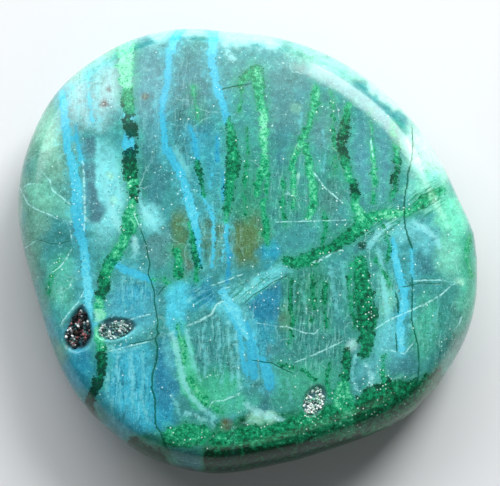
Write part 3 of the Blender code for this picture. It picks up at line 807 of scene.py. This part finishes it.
def moulded(turn, tilt):
    """Points of the stone's surface in millimetres: tilt is 1 on the crown, 0 on the rim, -1 below."""
    above = tilt >= 0.0
    reach = np.abs(tilt)
    radius = rim_radius(turn)
    width = edge_width(turn, above)
    power = 2.0 / np.where(above, SHOULDER_SQUARENESS, HEEL_SQUARENESS)
    swing = np.clip(reach / EDGE_SHARE, 0.0, 1.0) * 0.5 * math.pi
    inward = np.clip((1.0 - reach) / (1.0 - EDGE_SHARE), 0.0, 1.0)
    span = np.where(reach <= EDGE_SHARE,
                    radius - width * (1.0 - np.cos(swing) ** power),
                    (radius - width) * inward)
    edge = np.sin(swing) ** power
    dome = 1.0 - (span / radius) ** 2
    height = np.where(above, SHOULDER_RISE * edge + CROWN_RISE * dome, -HEEL_DROP * edge - BELLY_DROP * dome)
    return np.column_stack([span * np.cos(turn), span * np.sin(turn), RIM_HEIGHT + height])


def ground(points):
    """Soft flats where the wheel touched the rim, the slow waves of the polish, and rim chips."""
    for heading, tilt, distance in GROUND_FLATS:
        facing = direction(heading, tilt)
        proud = (points - np.array([0.0, 0.0, RIM_HEIGHT])) @ facing - distance
        points = points - np.outer(FLAT_BLEND * np.logaddexp(0.0, proud / FLAT_BLEND), facing)
    rise = np.zeros(len(points))
    for height, rate, heading, phase in POLISH_WAVES:
        along = points @ direction(heading)
        rise += height * np.sin(2.0 * math.pi * rate * MM * along + phase)
    points[:, 2] += rise * np.clip((points[:, 2] - RIM_HEIGHT) / SHOULDER_RISE, -1.0, 1.0)
    for heading, height, radius, depth in CHIPS:
        outward = direction(heading)
        middle = outward * rim_radius(math.radians(heading)) + np.array([0.0, 0.0, height])
        near = soft_step(1.0 - np.linalg.norm(points - middle, axis=1) / radius, 0.0, 1.0)
        points = points - np.outer(depth * near, outward)
    return points


def pocket_place(across, up, pocket):
    """How far places lie from a pocket's middle, 1 at its brink."""
    turn = math.radians(pocket["turn"])
    away_x, away_y = across - pocket["middle"][0], up - pocket["middle"][1]
    along = (away_x * math.cos(turn) + away_y * math.sin(turn)) / pocket["reach"][0]
    beside = (away_y * math.cos(turn) - away_x * math.sin(turn)) / pocket["reach"][1]
    return np.hypot(along, beside / (1.0 + pocket["flare"] * along))


def bowl_depth(across, up, pocket):
    """How far a pocket goes down from the crown, its rounded lip included."""
    return pocket["depth"] * soft_step(1.0 + POCKET_LIP - pocket_place(across, up, pocket), 0.0, POCKET_LIP)


def sink_pockets(points):
    for pocket in POCKETS:
        depth = bowl_depth(points[:, 0], points[:, 1], pocket)
        points[:, 2] -= np.where(points[:, 2] > POCKETS_ABOVE, depth, 0.0)
    return points


def square_to_disc(across, up):
    """Turn and radius (0 to 1) of square places (-1 to 1) laid on a disc as concentric rings."""
    wide = np.abs(across) >= np.abs(up)
    radius = np.where(wide, np.abs(across), np.abs(up))
    safe_across = np.where(across == 0.0, 1.0, across)
    safe_up = np.where(up == 0.0, 1.0, up)
    flat = 0.25 * math.pi * up / safe_across + np.where(across < 0.0, math.pi, 0.0)
    steep = 0.5 * math.pi - 0.25 * math.pi * across / safe_up + np.where(up < 0.0, math.pi, 0.0)
    return np.where(wide, flat, steep), radius


def lattice(cells):
    """Turn and radius of a square lattice's points on a disc, and its edge's point numbers in order."""
    steps = np.linspace(-1.0, 1.0, cells + 1)
    up, across = np.meshgrid(steps, steps, indexing="ij")
    turn, radius = square_to_disc(across.ravel(), up.ravel())
    row = cells + 1
    last = cells * row + cells
    edge = [*range(cells), *range(cells, last, row),
            *range(last, last - cells, -1), *range(last - cells, 0, -row)]
    return turn, radius, edge


def lattice_cells(cells):
    """Point numbers at the four corners of each cell of a lattice."""
    row = cells + 1
    starts = (i * row + j for i in range(cells) for j in range(cells))
    return [(start, start + 1, start + row + 1, start + row) for start in starts]


def skin_grid():
    """Turns, tilts and faces of the skin: a fine crown, rows down the edge, and a coarser belly."""
    turn, radius, edge = lattice(CROWN_CELLS)
    turns, tilts = [turn], [1.0 - radius * (1.0 - EDGE_SHARE)]
    faces = lattice_cells(CROWN_CELLS)
    count = len(turn)
    above = edge
    for step in range(1, EDGE_ROWS + 1):
        below = list(range(count, count + len(edge)))
        turns.append(turn[edge])
        tilts.append(np.full(len(edge), EDGE_SHARE * (1.0 - 2.0 * step / EDGE_ROWS)))
        for k in range(len(edge)):
            after = (k + 1) % len(edge)
            faces.append((above[k], below[k], below[after], above[after]))
        above = below
        count += len(edge)

    half = CROWN_CELLS // 2
    belly_turn, belly_radius, belly_edge = lattice(half)
    number = dict(zip(belly_edge, above[::2]))
    halfway = dict(zip(zip(belly_edge, belly_edge[1:] + belly_edge[:1]), above[1::2]))
    inside = [point for point in range(len(belly_turn)) if point not in number]
    number.update(zip(inside, range(count, count + len(inside))))
    turns.append(belly_turn[inside])
    tilts.append(-1.0 + belly_radius[inside] * (1.0 - EDGE_SHARE))
    for corners in lattice_cells(half):
        loop = []
        for start, end in zip(corners, corners[1:] + corners[:1]):
            loop.append(number[start])
            if (start, end) in halfway:
                loop.append(halfway[(start, end)])
        faces.append(tuple(reversed(loop)))
    return np.concatenate(turns), np.concatenate(tilts), faces


def fitting(points):
    """Scale and shift that lay millimetre points in the solid's own box, standing on the ground."""
    low, high = np.array(CAD_LOW), np.array(CAD_HIGH)
    own_low, own_high = points.min(axis=0), points.max(axis=0)
    own_low[2] = 0.0
    scale = (high - low) / (own_high - own_low)
    return scale, low - own_low * scale


def photo_places(points):
    """Pixels of the photograph where the camera sees points given in metres."""
    offset = points - np.array(CAMERA_PLACE)
    depth = -(offset @ np.array(CAMERA_BACK))
    across = IMAGE_WIDTH / 2.0 + FOCUS_PX * offset[:, 0] / depth
    down = IMAGE_HEIGHT / 2.0 - FOCUS_PX * (offset @ np.array(CAMERA_UP)) / depth
    return across, down


def wander(across, down, size, seed):
    """A smooth random ripple between about -1 and 1 with bumps about `size` pixels wide."""
    dice = random.Random(seed)
    total = np.zeros_like(across)
    for _ in range(RIPPLE_WAVES):
        heading, phase = dice.uniform(0.0, 2.0 * math.pi), dice.uniform(0.0, 2.0 * math.pi)
        rate = 2.0 * math.pi / (size * dice.uniform(*RIPPLE_LENGTHS))
        total += np.sin(rate * (across * math.cos(heading) + down * math.sin(heading)) + phase)
    return total / RIPPLE_LEVEL


def rippled(across, down, ripples):
    """Places pushed about by random ripples."""
    x, y = across, down
    for reach, size, seed_x, seed_y in ripples:
        x = x + reach * wander(across, down, size, seed_x)
        y = y + reach * wander(across, down, size, seed_y)
    return x, y


def marking_places(points):
    """Photograph pixels each point takes its markings from; below the rim the veins lean and wander."""
    across, down = photo_places(points)
    under = soft_step(RIM_HEIGHT - LEAN_FROM - points[:, 2] / MM, 0.0, LEAN_OVER)
    across = across + under * (LEAN[0] + LEAN_WANDER * wander(across, down, LEAN_BUMPS, LEAN_SEEDS[0]))
    down = down - under * (LEAN[1] + LEAN_WANDER * wander(across, down, LEAN_BUMPS, LEAN_SEEDS[1]))
    return across, down


def cloud_weight(across, down, x, y, reach_x, reach_y, turn=0.0):
    """1 in an elliptic cloud, fading to 0 past its reach."""
    turn = math.radians(turn)
    along = (across - x) * math.cos(turn) + (down - y) * math.sin(turn)
    beside = (down - y) * math.cos(turn) - (across - x) * math.sin(turn)
    return 1.0 - soft_step(np.hypot(along / reach_x, beside / reach_y), *CLOUD_FADE)


def mask(across, down, clouds):
    """The strongest of some clouds at each place."""
    return np.max([strength * cloud_weight(across, down, *place) for strength, *place in clouds], axis=0)


def along_segment(x, y, start, end):
    """Share of the way from start to end where a place is nearest to the segment, and how far it is."""
    step_x, step_y = end[0] - start[0], end[1] - start[1]
    share = ((x - start[0]) * step_x + (y - start[1]) * step_y) / (step_x ** 2 + step_y ** 2)
    share = np.clip(share, 0.0, 1.0)
    return share, np.hypot(x - start[0] - share * step_x, y - start[1] - share * step_y)


def around(across, down, places, margin):
    """Numbers of the points in the box round some places, widened by a margin."""
    low, high = np.min(places, axis=0) - margin, np.max(places, axis=0) + margin
    return np.flatnonzero((across > low[0]) & (across < high[0]) & (down > low[1]) & (down < high[1]))


def blended(start, end, share):
    """The value at a share of the way from start to end."""
    return start + share * (end - start)


def inset(across, down, corners):
    """Distance inside a polygon, negative outside it."""
    nearest = np.full(across.shape, FAR_AWAY)
    odd = np.zeros(across.shape, dtype=bool)
    for start, end in zip(corners, corners[1:] + corners[:1]):
        nearest = np.minimum(nearest, along_segment(across, down, start, end)[1])
        if start[1] != end[1]:
            crossing = blended(start[0], end[0], (down - start[1]) / (end[1] - start[1]))
            odd ^= ((start[1] > down) != (end[1] > down)) & (across < crossing)
    return np.where(odd, nearest, -nearest)


def vein_field(across, down, strokes):
    """Distance inside the strokes in pixels (negative outside) and the tone of the deepest one."""
    edge = np.full(across.shape, -VEIN_REACH)
    tone = np.full(across.shape, PLAIN_TONE)
    for stroke in strokes:
        near = around(across, down, [point[:2] for point in stroke], 2.0 * VEIN_REACH)
        for start, end in zip(stroke, stroke[1:]):
            share, away = along_segment(across[near], down[near], start, end)
            inside = 0.5 * blended(start[2], end[2], share) - away
            better = inside > edge[near]
            tone[near[better]] = blended(start[3], end[3], share)[better]
            edge[near[better]] = inside[better]
    return edge, tone


def line_field(across, down, lines):
    """Signed distance to the nearest line in half widths, and a mask that is 1 beside a line."""
    nearest = np.full(across.shape, FAR_AWAY)
    signed = np.full(across.shape, LINE_LIMIT)
    for line in lines:
        for start, end in zip(line, line[1:]):
            near = around(across, down, (start[:2], end[:2]), LINE_REACH)
            x, y = across[near], down[near]
            share, away = along_segment(x, y, start, end)
            side = np.sign((end[0] - start[0]) * (y - start[1]) - (end[1] - start[1]) * (x - start[0]))
            better = away < nearest[near]
            nearest[near[better]] = away[better]
            signed[near[better]] = (away * side / (0.5 * blended(start[2], end[2], share)))[better]
    return np.clip(signed, -LINE_LIMIT, LINE_LIMIT), 1.0 - soft_step(nearest, *LINE_MASK)


def linear(colour):
    """An sRGB colour, or several, as linear light."""
    values = np.array(colour) / 255.0
    return np.where(values <= 0.04045, values / 12.92, ((values + 0.055) / 1.055) ** 2.4)


def lay(paint, weight, colour):
    """Lay a named colour over the paint, as far as each point's weight."""
    paint += weight[:, None] * (linear(COLOURS[colour]) - paint)


def quartz_colours(across, down):
    """Colour of the quartz between the veins."""
    paint = np.tile(linear(COLOURS[QUARTZ]), (len(across), 1))
    x, y = rippled(across, down, CLOUD_RIPPLES)
    for colour, strength, *place in CLOUDS:
        lay(paint, strength * cloud_weight(x, y, *place), colour)
    x, y = rippled(across, down, PANE_RIPPLES)
    for colour, strength, softness, corners in PANES:
        lay(paint, strength * soft_step(inset(x, y, corners), -softness, softness), colour)
    for colour, strength, middle_x, middle_y, radius in SPOTS:
        lay(paint, strength * cloud_weight(x, y, middle_x, middle_y, radius, radius), colour)
    return paint


def far_side(points):
    """1 on the far side of the edge, in millimetres, fading towards the crown and the front."""
    low = soft_step(RIM_HEIGHT + FAR_SIDE_FROM - points[:, 2], 0.0, FAR_SIDE_OVER)
    return low * soft_step(points[:, 1], *FAR_SIDE_BAND)


def pit_mask(points):
    """1 in the pockets, for points in millimetres."""
    nearest = np.min([pocket_place(points[:, 0], points[:, 1], pocket) for pocket in POCKETS], axis=0)
    return np.where(points[:, 2] > RIM_HEIGHT, 1.0 - soft_step(nearest, *PIT_FADE), 0.0)


def malachite_field(across, down):
    """The malachite veins' distance and tone, with the patches joined in."""
    edge, tone = vein_field(across, down, MALACHITE)
    x, y = rippled(across, down, PATCH_RIPPLES)
    for patch_tone, corners in MALACHITE_PATCHES:
        inside = np.clip(inset(x, y, corners), -VEIN_REACH, PATCH_DEPTH)
        better = inside > edge
        edge, tone = np.where(better, inside, edge), np.where(better, patch_tone, tone)
    return edge, tone


def paint_attribute(mesh, name, *columns):
    """Up to four channels painted on a mesh's points; those that are left are 1."""
    columns = np.column_stack(columns)
    rest = np.ones((len(columns), 4 - columns.shape[1]))
    attribute = mesh.attributes.new(name, "FLOAT_COLOR", "POINT")
    attribute.data.foreach_set("color", np.hstack([columns, rest]).astype(np.float32).ravel())


def paint_skin(mesh, points):
    """Paint all of the stone's fields on its skin, whose points are given in metres."""
    across, down = marking_places(points)
    colours = quartz_colours(across, down)
    lay(colours, FAR_SIDE_STRENGTH * far_side(points / MM), QUARTZ)
    paint_attribute(mesh, "quartz", colours, pit_mask(points / MM))
    paint_attribute(mesh, "veins", *vein_field(across, down, TURQUOISE), *malachite_field(across, down))
    paint_attribute(mesh, "haze", *vein_field(across, down, WISPS))
    paint_attribute(mesh, "lines", *line_field(across, down, CRACKS), *line_field(across, down, SEAMS))
    # Fields of fibres, slants, painted glints of light and dark grains
    grains = [mask(across, down, clouds) for clouds in (FIBRES, SLANTS, PAINTED_GLINT_PLACES, GRAINS)]
    paint_attribute(mesh, "grain", *grains)


class Graph:
    """Short ways to add nodes to a material."""

    def __init__(self, name):
        self.material = bpy.data.materials.new(name)
        self.material.use_nodes = True
        self.nodes = self.material.node_tree.nodes
        self.links = self.material.node_tree.links
        self.shader = self.nodes["Principled BSDF"]

    def fill(self, socket, value):
        if isinstance(value, bpy.types.NodeSocket):
            self.links.new(value, socket)
        else:
            socket.default_value = value

    def add(self, kind, inputs, **settings):
        node = self.nodes.new(kind)
        for name, value in settings.items():
            setattr(node, name, value)
        for name, value in inputs.items():
            self.fill(node.inputs[name], value)
        return node

    def shade(self, settings):
        """Fill the shader's own sockets."""
        for name, value in settings.items():
            self.fill(self.shader.inputs[name], value)
        return self.material

    def math(self, operation, first, second=0.0):
        return self.add("ShaderNodeMath", {0: first, 1: second}, operation=operation).outputs[0]

    def vector(self, operation, first, second):
        node = self.add("ShaderNodeVectorMath", {0: first, 1: second}, operation=operation)
        return node.outputs["Vector"]

    def scaled(self, vector, amount):
        node = self.add("ShaderNodeVectorMath", {0: vector, "Scale": amount}, operation="SCALE")
        return node.outputs["Vector"]

    def split(self, vector):
        node = self.add("ShaderNodeSeparateXYZ", {"Vector": vector})
        return [node.outputs[axis] for axis in "XYZ"]

    def span(self, value, low, high, to_low=0.0, to_high=1.0):
        node = self.add("ShaderNodeMapRange", {"Value": value, "From Min": low, "From Max": high,
                                               "To Min": to_low, "To Max": to_high},
                        interpolation_type="SMOOTHSTEP")
        return node.outputs["Result"]

    def mix(self, share, low, high):
        node = self.add("ShaderNodeMix", {}, data_type="RGBA")
        for name, value in (("Factor", share), ("A", low), ("B", high)):
            self.fill(node.inputs[name], value)
        return node.outputs["Result"]

    def cover(self, colour, over, share, strength=None):
        """A colour with another (a socket or a name) over it, as far as share times strength."""
        if strength is not None:
            share = self.math("MULTIPLY", share, strength)
        return self.mix(share, colour, (*linear(COLOURS[over]), 1.0) if isinstance(over, str) else over)

    def noise(self, place, scale, detail=2.0, roughness=0.5, distortion=0.0):
        return self.add("ShaderNodeTexNoise", {"Vector": place, "Scale": scale, "Detail": detail,
                                               "Roughness": roughness, "Distortion": distortion}).outputs

    def ripple(self, place, scale, detail):
        """Noise about zero, mostly between -1 and 1."""
        noise = self.noise(place, scale, detail, 0.6)["Fac"]
        return self.math("MULTIPLY", self.math("SUBTRACT", noise, 0.5), 4.0)

    def warped(self, place, scale, reach):
        """Coordinates pushed about by a coarse noise."""
        return self.vector("ADD", place, self.scaled(self.noise(place, scale)["Color"], reach))

    def place(self, scale=(1.0, 1.0, 1.0), turn=0.0):
        """Object coordinates in millimetres, turned about the vertical and stretched."""
        coordinates = self.add("ShaderNodeTexCoord", {}).outputs["Object"]
        turned = self.add("ShaderNodeVectorRotate", {"Vector": coordinates, "Angle": math.radians(turn)},
                          rotation_type="Z_AXIS").outputs["Vector"]
        return self.vector("MULTIPLY", turned, tuple(value / MM for value in scale))

    def ramp(self, value, stops):
        node = self.add("ShaderNodeValToRGB", {"Fac": value})
        elements = node.color_ramp.elements
        while len(elements) < len(stops):
            elements.new(0.5)
        for element, (position, colour) in zip(elements, stops):
            element.position = position
            element.color = (*linear(COLOURS[colour]), 1.0)
        return node.outputs["Color"]

    def attribute(self, name):
        """The four channels of a painted attribute, and its colour."""
        node = self.add("ShaderNodeAttribute", {}, attribute_name=name)
        return [*self.split(node.outputs["Vector"]), node.outputs["Alpha"], node.outputs["Color"]]


class StoneGraph(Graph):
    """The stone's material: painted fields, roughened by noises of three sizes."""

    def __init__(self, name):
        super().__init__(name)
        self.here = self.place()
        self.noises = [self.ripple(self.here, *size) for size in (FRAY, CRUMB, DRIFT)]
        self.cloud = self.ripple(self.place(*CLOUD_GRAIN), 1.0, 3.0)

    def roughened(self, value, fray=0.0, crumb=0.0, drift=0.0):
        """A value with the three noises added, each by its own weight."""
        for noise, weight in zip(self.noises, (fray, crumb, drift)):
            if weight:
                value = self.math("ADD", value, self.math("MULTIPLY", noise, weight))
        return value

    def fibrous(self, grain, detail):
        """A noise drawn out into fibres."""
        return self.noise(self.place(*grain), 1.0, detail, 0.6, 0.8)["Fac"]

    def quartz(self, colour, halos, fibre, slant):
        """Quartz: drifts of green and blue, halos along the veins, grain, fibres, frost and webs."""
        colour = self.cover(colour, "fern", self.span(self.cloud, *GREEN_DRIFT))
        colour = self.cover(colour, "blue_quartz", self.span(self.cloud, *BLUE_DRIFT))
        for vein, halo, strength in halos:
            near = self.roughened(vein, drift=HALO_DRIFT)
            colour = self.cover(colour, halo, self.span(near, *HALO_REACH, 0.0, strength))
        colour = self.scaled(colour, self.roughened(1.0, *QUARTZ_LIGHT))
        strands = self.fibrous(STRAND_GRAIN, 4.0)
        colour = self.cover(colour, self.cover(colour, "ice", 0.5), self.span(strands, *PALE_STRANDS), fibre)
        colour = self.cover(colour, self.scaled(colour, 0.5), self.span(strands, *DARK_STRANDS), fibre)
        hatch = self.fibrous(HATCH_GRAIN, 3.0)
        colour = self.cover(colour, self.cover(colour, "cream", 0.6), self.span(hatch, *PALE_HATCH), slant)
        colour = self.cover(colour, "green", self.span(hatch, *DARK_HATCH), slant)
        frost = self.roughened(0.0, *FROST_GRAIN)
        colour = self.cover(colour, "ice", self.span(frost, *FROST))
        bent = self.warped(self.here, *WEB_BEND)
        net = self.add("ShaderNodeTexVoronoi", {"Vector": bent, "Scale": WEB_CELLS},
                       feature="DISTANCE_TO_EDGE").outputs["Distance"]
        places = self.span(self.cloud, *WEB_PLACES)
        return self.cover(colour, "ice", self.span(net, *WEB_LINES), places)

    def veins(self, colour, field, tone, look):
        """A colour with veins of one kind over it, and how far each spot lies in them (0 to 1)."""
        inside = self.span(self.roughened(field, *look["edge"]), *look["fade"])
        tone = self.roughened(self.math("ADD", tone, look["shift"]), *look["tone"])
        return self.cover(colour, self.ramp(tone, look["colours"]), inside, look["cover"]), inside

    def on_line(self, line, beside, fade):
        """1 along a thin line, which wobbles."""
        away = self.math("ABSOLUTE", self.roughened(line, fray=LINE_WOBBLE))
        return self.math("MULTIPLY", self.span(away, *fade), beside)

    def specks(self, field, scale, axis, size, density):
        """1 in scattered round specks, as many as a field asks for."""
        cells = self.add("ShaderNodeTexVoronoi", {"Vector": self.here, "Scale": scale}).outputs
        chance = self.math("MULTIPLY", field, density)
        chosen = self.math("LESS_THAN", self.split(cells["Color"])[axis], chance)
        return self.math("MULTIPLY", self.span(cells["Distance"], *size), chosen)


def stone_material():
    graph = StoneGraph("chrysocolla_in_quartz")
    *_, pit, quartz = graph.attribute("quartz")
    turquoise, turquoise_tone, malachite, malachite_tone, _ = graph.attribute("veins")
    crack, by_crack, seam, by_seam, _ = graph.attribute("lines")
    fibre, slant, painted_glint, dark_grain, _ = graph.attribute("grain")
    wisp, wisp_tone, *_ = graph.attribute("haze")

    halos = ((malachite, "halo_green", 0.42), (turquoise, "halo_blue", 0.38))
    colour = graph.quartz(quartz, halos, fibre, slant)
    colour, _ = graph.veins(colour, wisp, wisp_tone, WISP_LOOK)
    colour, _ = graph.veins(colour, turquoise, turquoise_tone, TURQUOISE_LOOK)
    colour, in_malachite = graph.veins(colour, malachite, malachite_tone, MALACHITE_LOOK)
    unbroken = graph.span(graph.noise(graph.here, SEAM_GRAIN)["Fac"], *SEAM_BREAKS)
    colour = graph.cover(colour, "ice", graph.on_line(seam, by_seam, SEAM_FADE), unbroken)
    on_crack = graph.on_line(crack, by_crack, CRACK_FADE)
    colour = graph.cover(colour, "ink", on_crack, CRACK_COVER)
    # White specks painted as glints of light
    colour = graph.cover(colour, "white", graph.specks(painted_glint, **PAINTED_GLINTS), PAINTED_GLINT_COVER)
    colour = graph.cover(colour, "night", graph.specks(dark_grain, **DARK_GRAINS), GRAIN_COVER)
    colour = graph.cover(colour, "smoke", pit)

    rough = graph.math("ADD", POLISH_ROUGHNESS, graph.math("MULTIPLY", in_malachite, MALACHITE_ROUGHNESS))
    rough = graph.math("ADD", rough, graph.math("MULTIPLY", pit, PIT_ROUGHNESS))
    height = graph.math("MULTIPLY", in_malachite, MALACHITE_HEIGHT)
    height = graph.math("SUBTRACT", graph.roughened(height, crumb=CRUMB_HEIGHT), on_crack)
    bump = graph.add("ShaderNodeBump", {"Height": height, **BUMP})
    return graph.shade({
        "Base Color": graph.vector("MULTIPLY", colour, DEPTH_TINT),
        "Roughness": rough,
        "Normal": bump.outputs["Normal"],
        **STONE_SHADER,
    })


def crystal_material():
    graph = Graph("quartz_points")
    *_, tint = graph.attribute("tint")
    haze = graph.span(graph.noise(graph.place(), 5.0)["Fac"], 0.3, 0.7, 0.75, 1.25)
    return graph.shade({"Base Color": graph.scaled(tint, haze), "Roughness": 0.06, "IOR": 1.54})


def floor_material():
    graph = Graph("pale_floor")
    mottle = graph.noise(graph.place(), 0.02)["Fac"]
    return graph.shade({"Base Color": graph.mix(mottle, *FLOOR_COLOURS), "Roughness": 0.7})


def placed(name, data):
    """A new object in the scene."""
    thing = bpy.data.objects.new(name, data)
    bpy.context.scene.collection.objects.link(thing)
    return thing


def new_mesh(name, points, faces):
    mesh = bpy.data.meshes.new(name)
    mesh.from_pydata(points.tolist(), [], faces)
    return mesh


def crown_height(x, y):
    """Height of the crown at one place, as if there were no pockets."""
    turn = np.array([math.atan2(y, x)])
    inward = math.hypot(x, y) / (rim_radius(turn) - edge_width(turn, True))
    return ground(moulded(turn, 1.0 - inward * (1.0 - EDGE_SHARE)))[0, 2]


def quartz_point(pocket, dice):
    """Corners of one six-sided quartz point in a pocket: its foot, its shoulder and its tip."""
    turn = math.radians(pocket["turn"])
    away, swing = math.sqrt(dice.random()) * POINT_SPREAD, dice.uniform(0.0, 2.0 * math.pi)
    along = away * math.cos(swing)
    beside = away * math.sin(swing) * (1.0 + pocket["flare"] * along) * pocket["reach"][1]
    along *= pocket["reach"][0]
    x = pocket["middle"][0] + along * math.cos(turn) - beside * math.sin(turn)
    y = pocket["middle"][1] + along * math.sin(turn) + beside * math.cos(turn)
    face = crown_height(x, y)
    radius = pocket["size"] * dice.uniform(*POINT_RADII)
    top = face - dice.uniform(*POINT_DROPS) * pocket["depth"]
    lean, lean_to = dice.uniform(*POINT_LEANS), dice.uniform(0.0, 2.0 * math.pi)
    root = Vector((x, y, face - bowl_depth(x, y, pocket) - POINT_ROOT))
    axis = Vector((math.sin(lean) * math.cos(lean_to), math.sin(lean) * math.sin(lean_to), math.cos(lean)))
    length = max((top - root.z) / axis.z, SHORTEST_POINT)
    corners = []
    for level in (0.0, max(length - TIP_LENGTH * radius, SHORTEST_SHAFT)):
        for k in range(POINT_SIDES):
            angle = 2.0 * math.pi * k / POINT_SIDES + POINT_TURN
            corners.append(Vector((radius * math.cos(angle), radius * math.sin(angle), level)))
    corners.append(Vector((0.0, 0.0, length)))
    upright = axis.to_track_quat("Z", "Y").to_matrix()
    return [list(root + upright @ corner) for corner in corners]


def make_crystals(scale, shift):
    """Six-sided quartz points standing in the pockets, just short of the polished face."""
    dice = random.Random(POINT_SEED)
    corners, faces, tints = [], [], []
    for pocket in POCKETS:
        for _ in range(pocket["points"]):
            foot = len(corners)
            shoulder = foot + POINT_SIDES
            tip = shoulder + POINT_SIDES
            corners.extend(quartz_point(pocket, dice))
            for k in range(POINT_SIDES):
                after = (k + 1) % POINT_SIDES
                faces.append((foot + k, foot + after, shoulder + after, shoulder + k))
                faces.append((shoulder + k, shoulder + after, tip))
            faces.append(tuple(reversed(range(foot, shoulder))))
            tints.extend([dice.choice(TINTS[pocket["tints"]])] * (tip + 1 - foot))
    mesh = new_mesh("druse_points", np.array(corners) * scale + shift, faces)
    paint_attribute(mesh, "tint", linear(tints))
    mesh.materials.append(crystal_material())
    return placed("druse_points", mesh)


def make_skin():
    """The stone's surface, with the scale and shift that fit it to the solid."""
    turns, tilts, faces = skin_grid()
    points = sink_pockets(ground(moulded(turns, tilts)))
    scale, shift = fitting(points)
    points = points * scale + shift
    points[:, 2] = np.maximum(points[:, 2], 0.0)
    mesh = new_mesh("stone_skin", points, faces)
    mesh.shade_smooth()
    paint_skin(mesh, points)
    mesh.materials.append(stone_material())
    return placed("stone_skin", mesh), scale, shift


def make_floor():
    bpy.ops.mesh.primitive_plane_add(size=FLOOR_SIZE, location=(0.0, 0.0, 0.0))
    floor = bpy.context.object
    floor.name = "floor"
    floor.data.materials.append(floor_material())


def make_camera():
    data = bpy.data.cameras.new("camera")
    data.sensor_width = SENSOR
    data.lens = FOCUS_PX * SENSOR / IMAGE_WIDTH
    data.clip_start, data.clip_end = CAMERA_CLIP
    camera = placed("camera", data)
    camera.location = CAMERA_PLACE
    camera.rotation_mode = "QUATERNION"
    camera.rotation_quaternion = (-CAMERA_BACK).to_track_quat("-Z", "Y")
    bpy.context.scene.camera = camera


def softbox(name, heading, height, distance, size, radiance):
    """A rectangular studio light that faces the stone."""
    away = Vector(direction(heading, height))
    data = bpy.data.lights.new(name, "AREA")
    data.shape = "RECTANGLE"
    data.size, data.size_y = size
    data.energy = radiance * math.pi * size[0] * size[1]
    light = placed(name, data)
    light.location = away * distance
    light.rotation_mode = "QUATERNION"
    light.rotation_quaternion = away.to_track_quat("Z", "Y")


def make_lights():
    for light in SOFTBOXES:
        softbox(*light)
    world = bpy.data.worlds.new("studio")
    world.use_nodes = True
    sky = world.node_tree.nodes["Background"]
    sky.inputs["Color"].default_value = SKY_COLOUR
    sky.inputs["Strength"].default_value = SKY_STRENGTH
    bpy.context.scene.world = world


def main():
    bpy.context.scene.view_settings.view_transform = "Standard"
    skin, scale, shift = make_skin()
    crystals = make_crystals(scale, shift)
    make_floor()
    make_camera()
    make_lights()
    for piece in (skin, crystals):
        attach(piece, "root")
    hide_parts(NODE)


main()
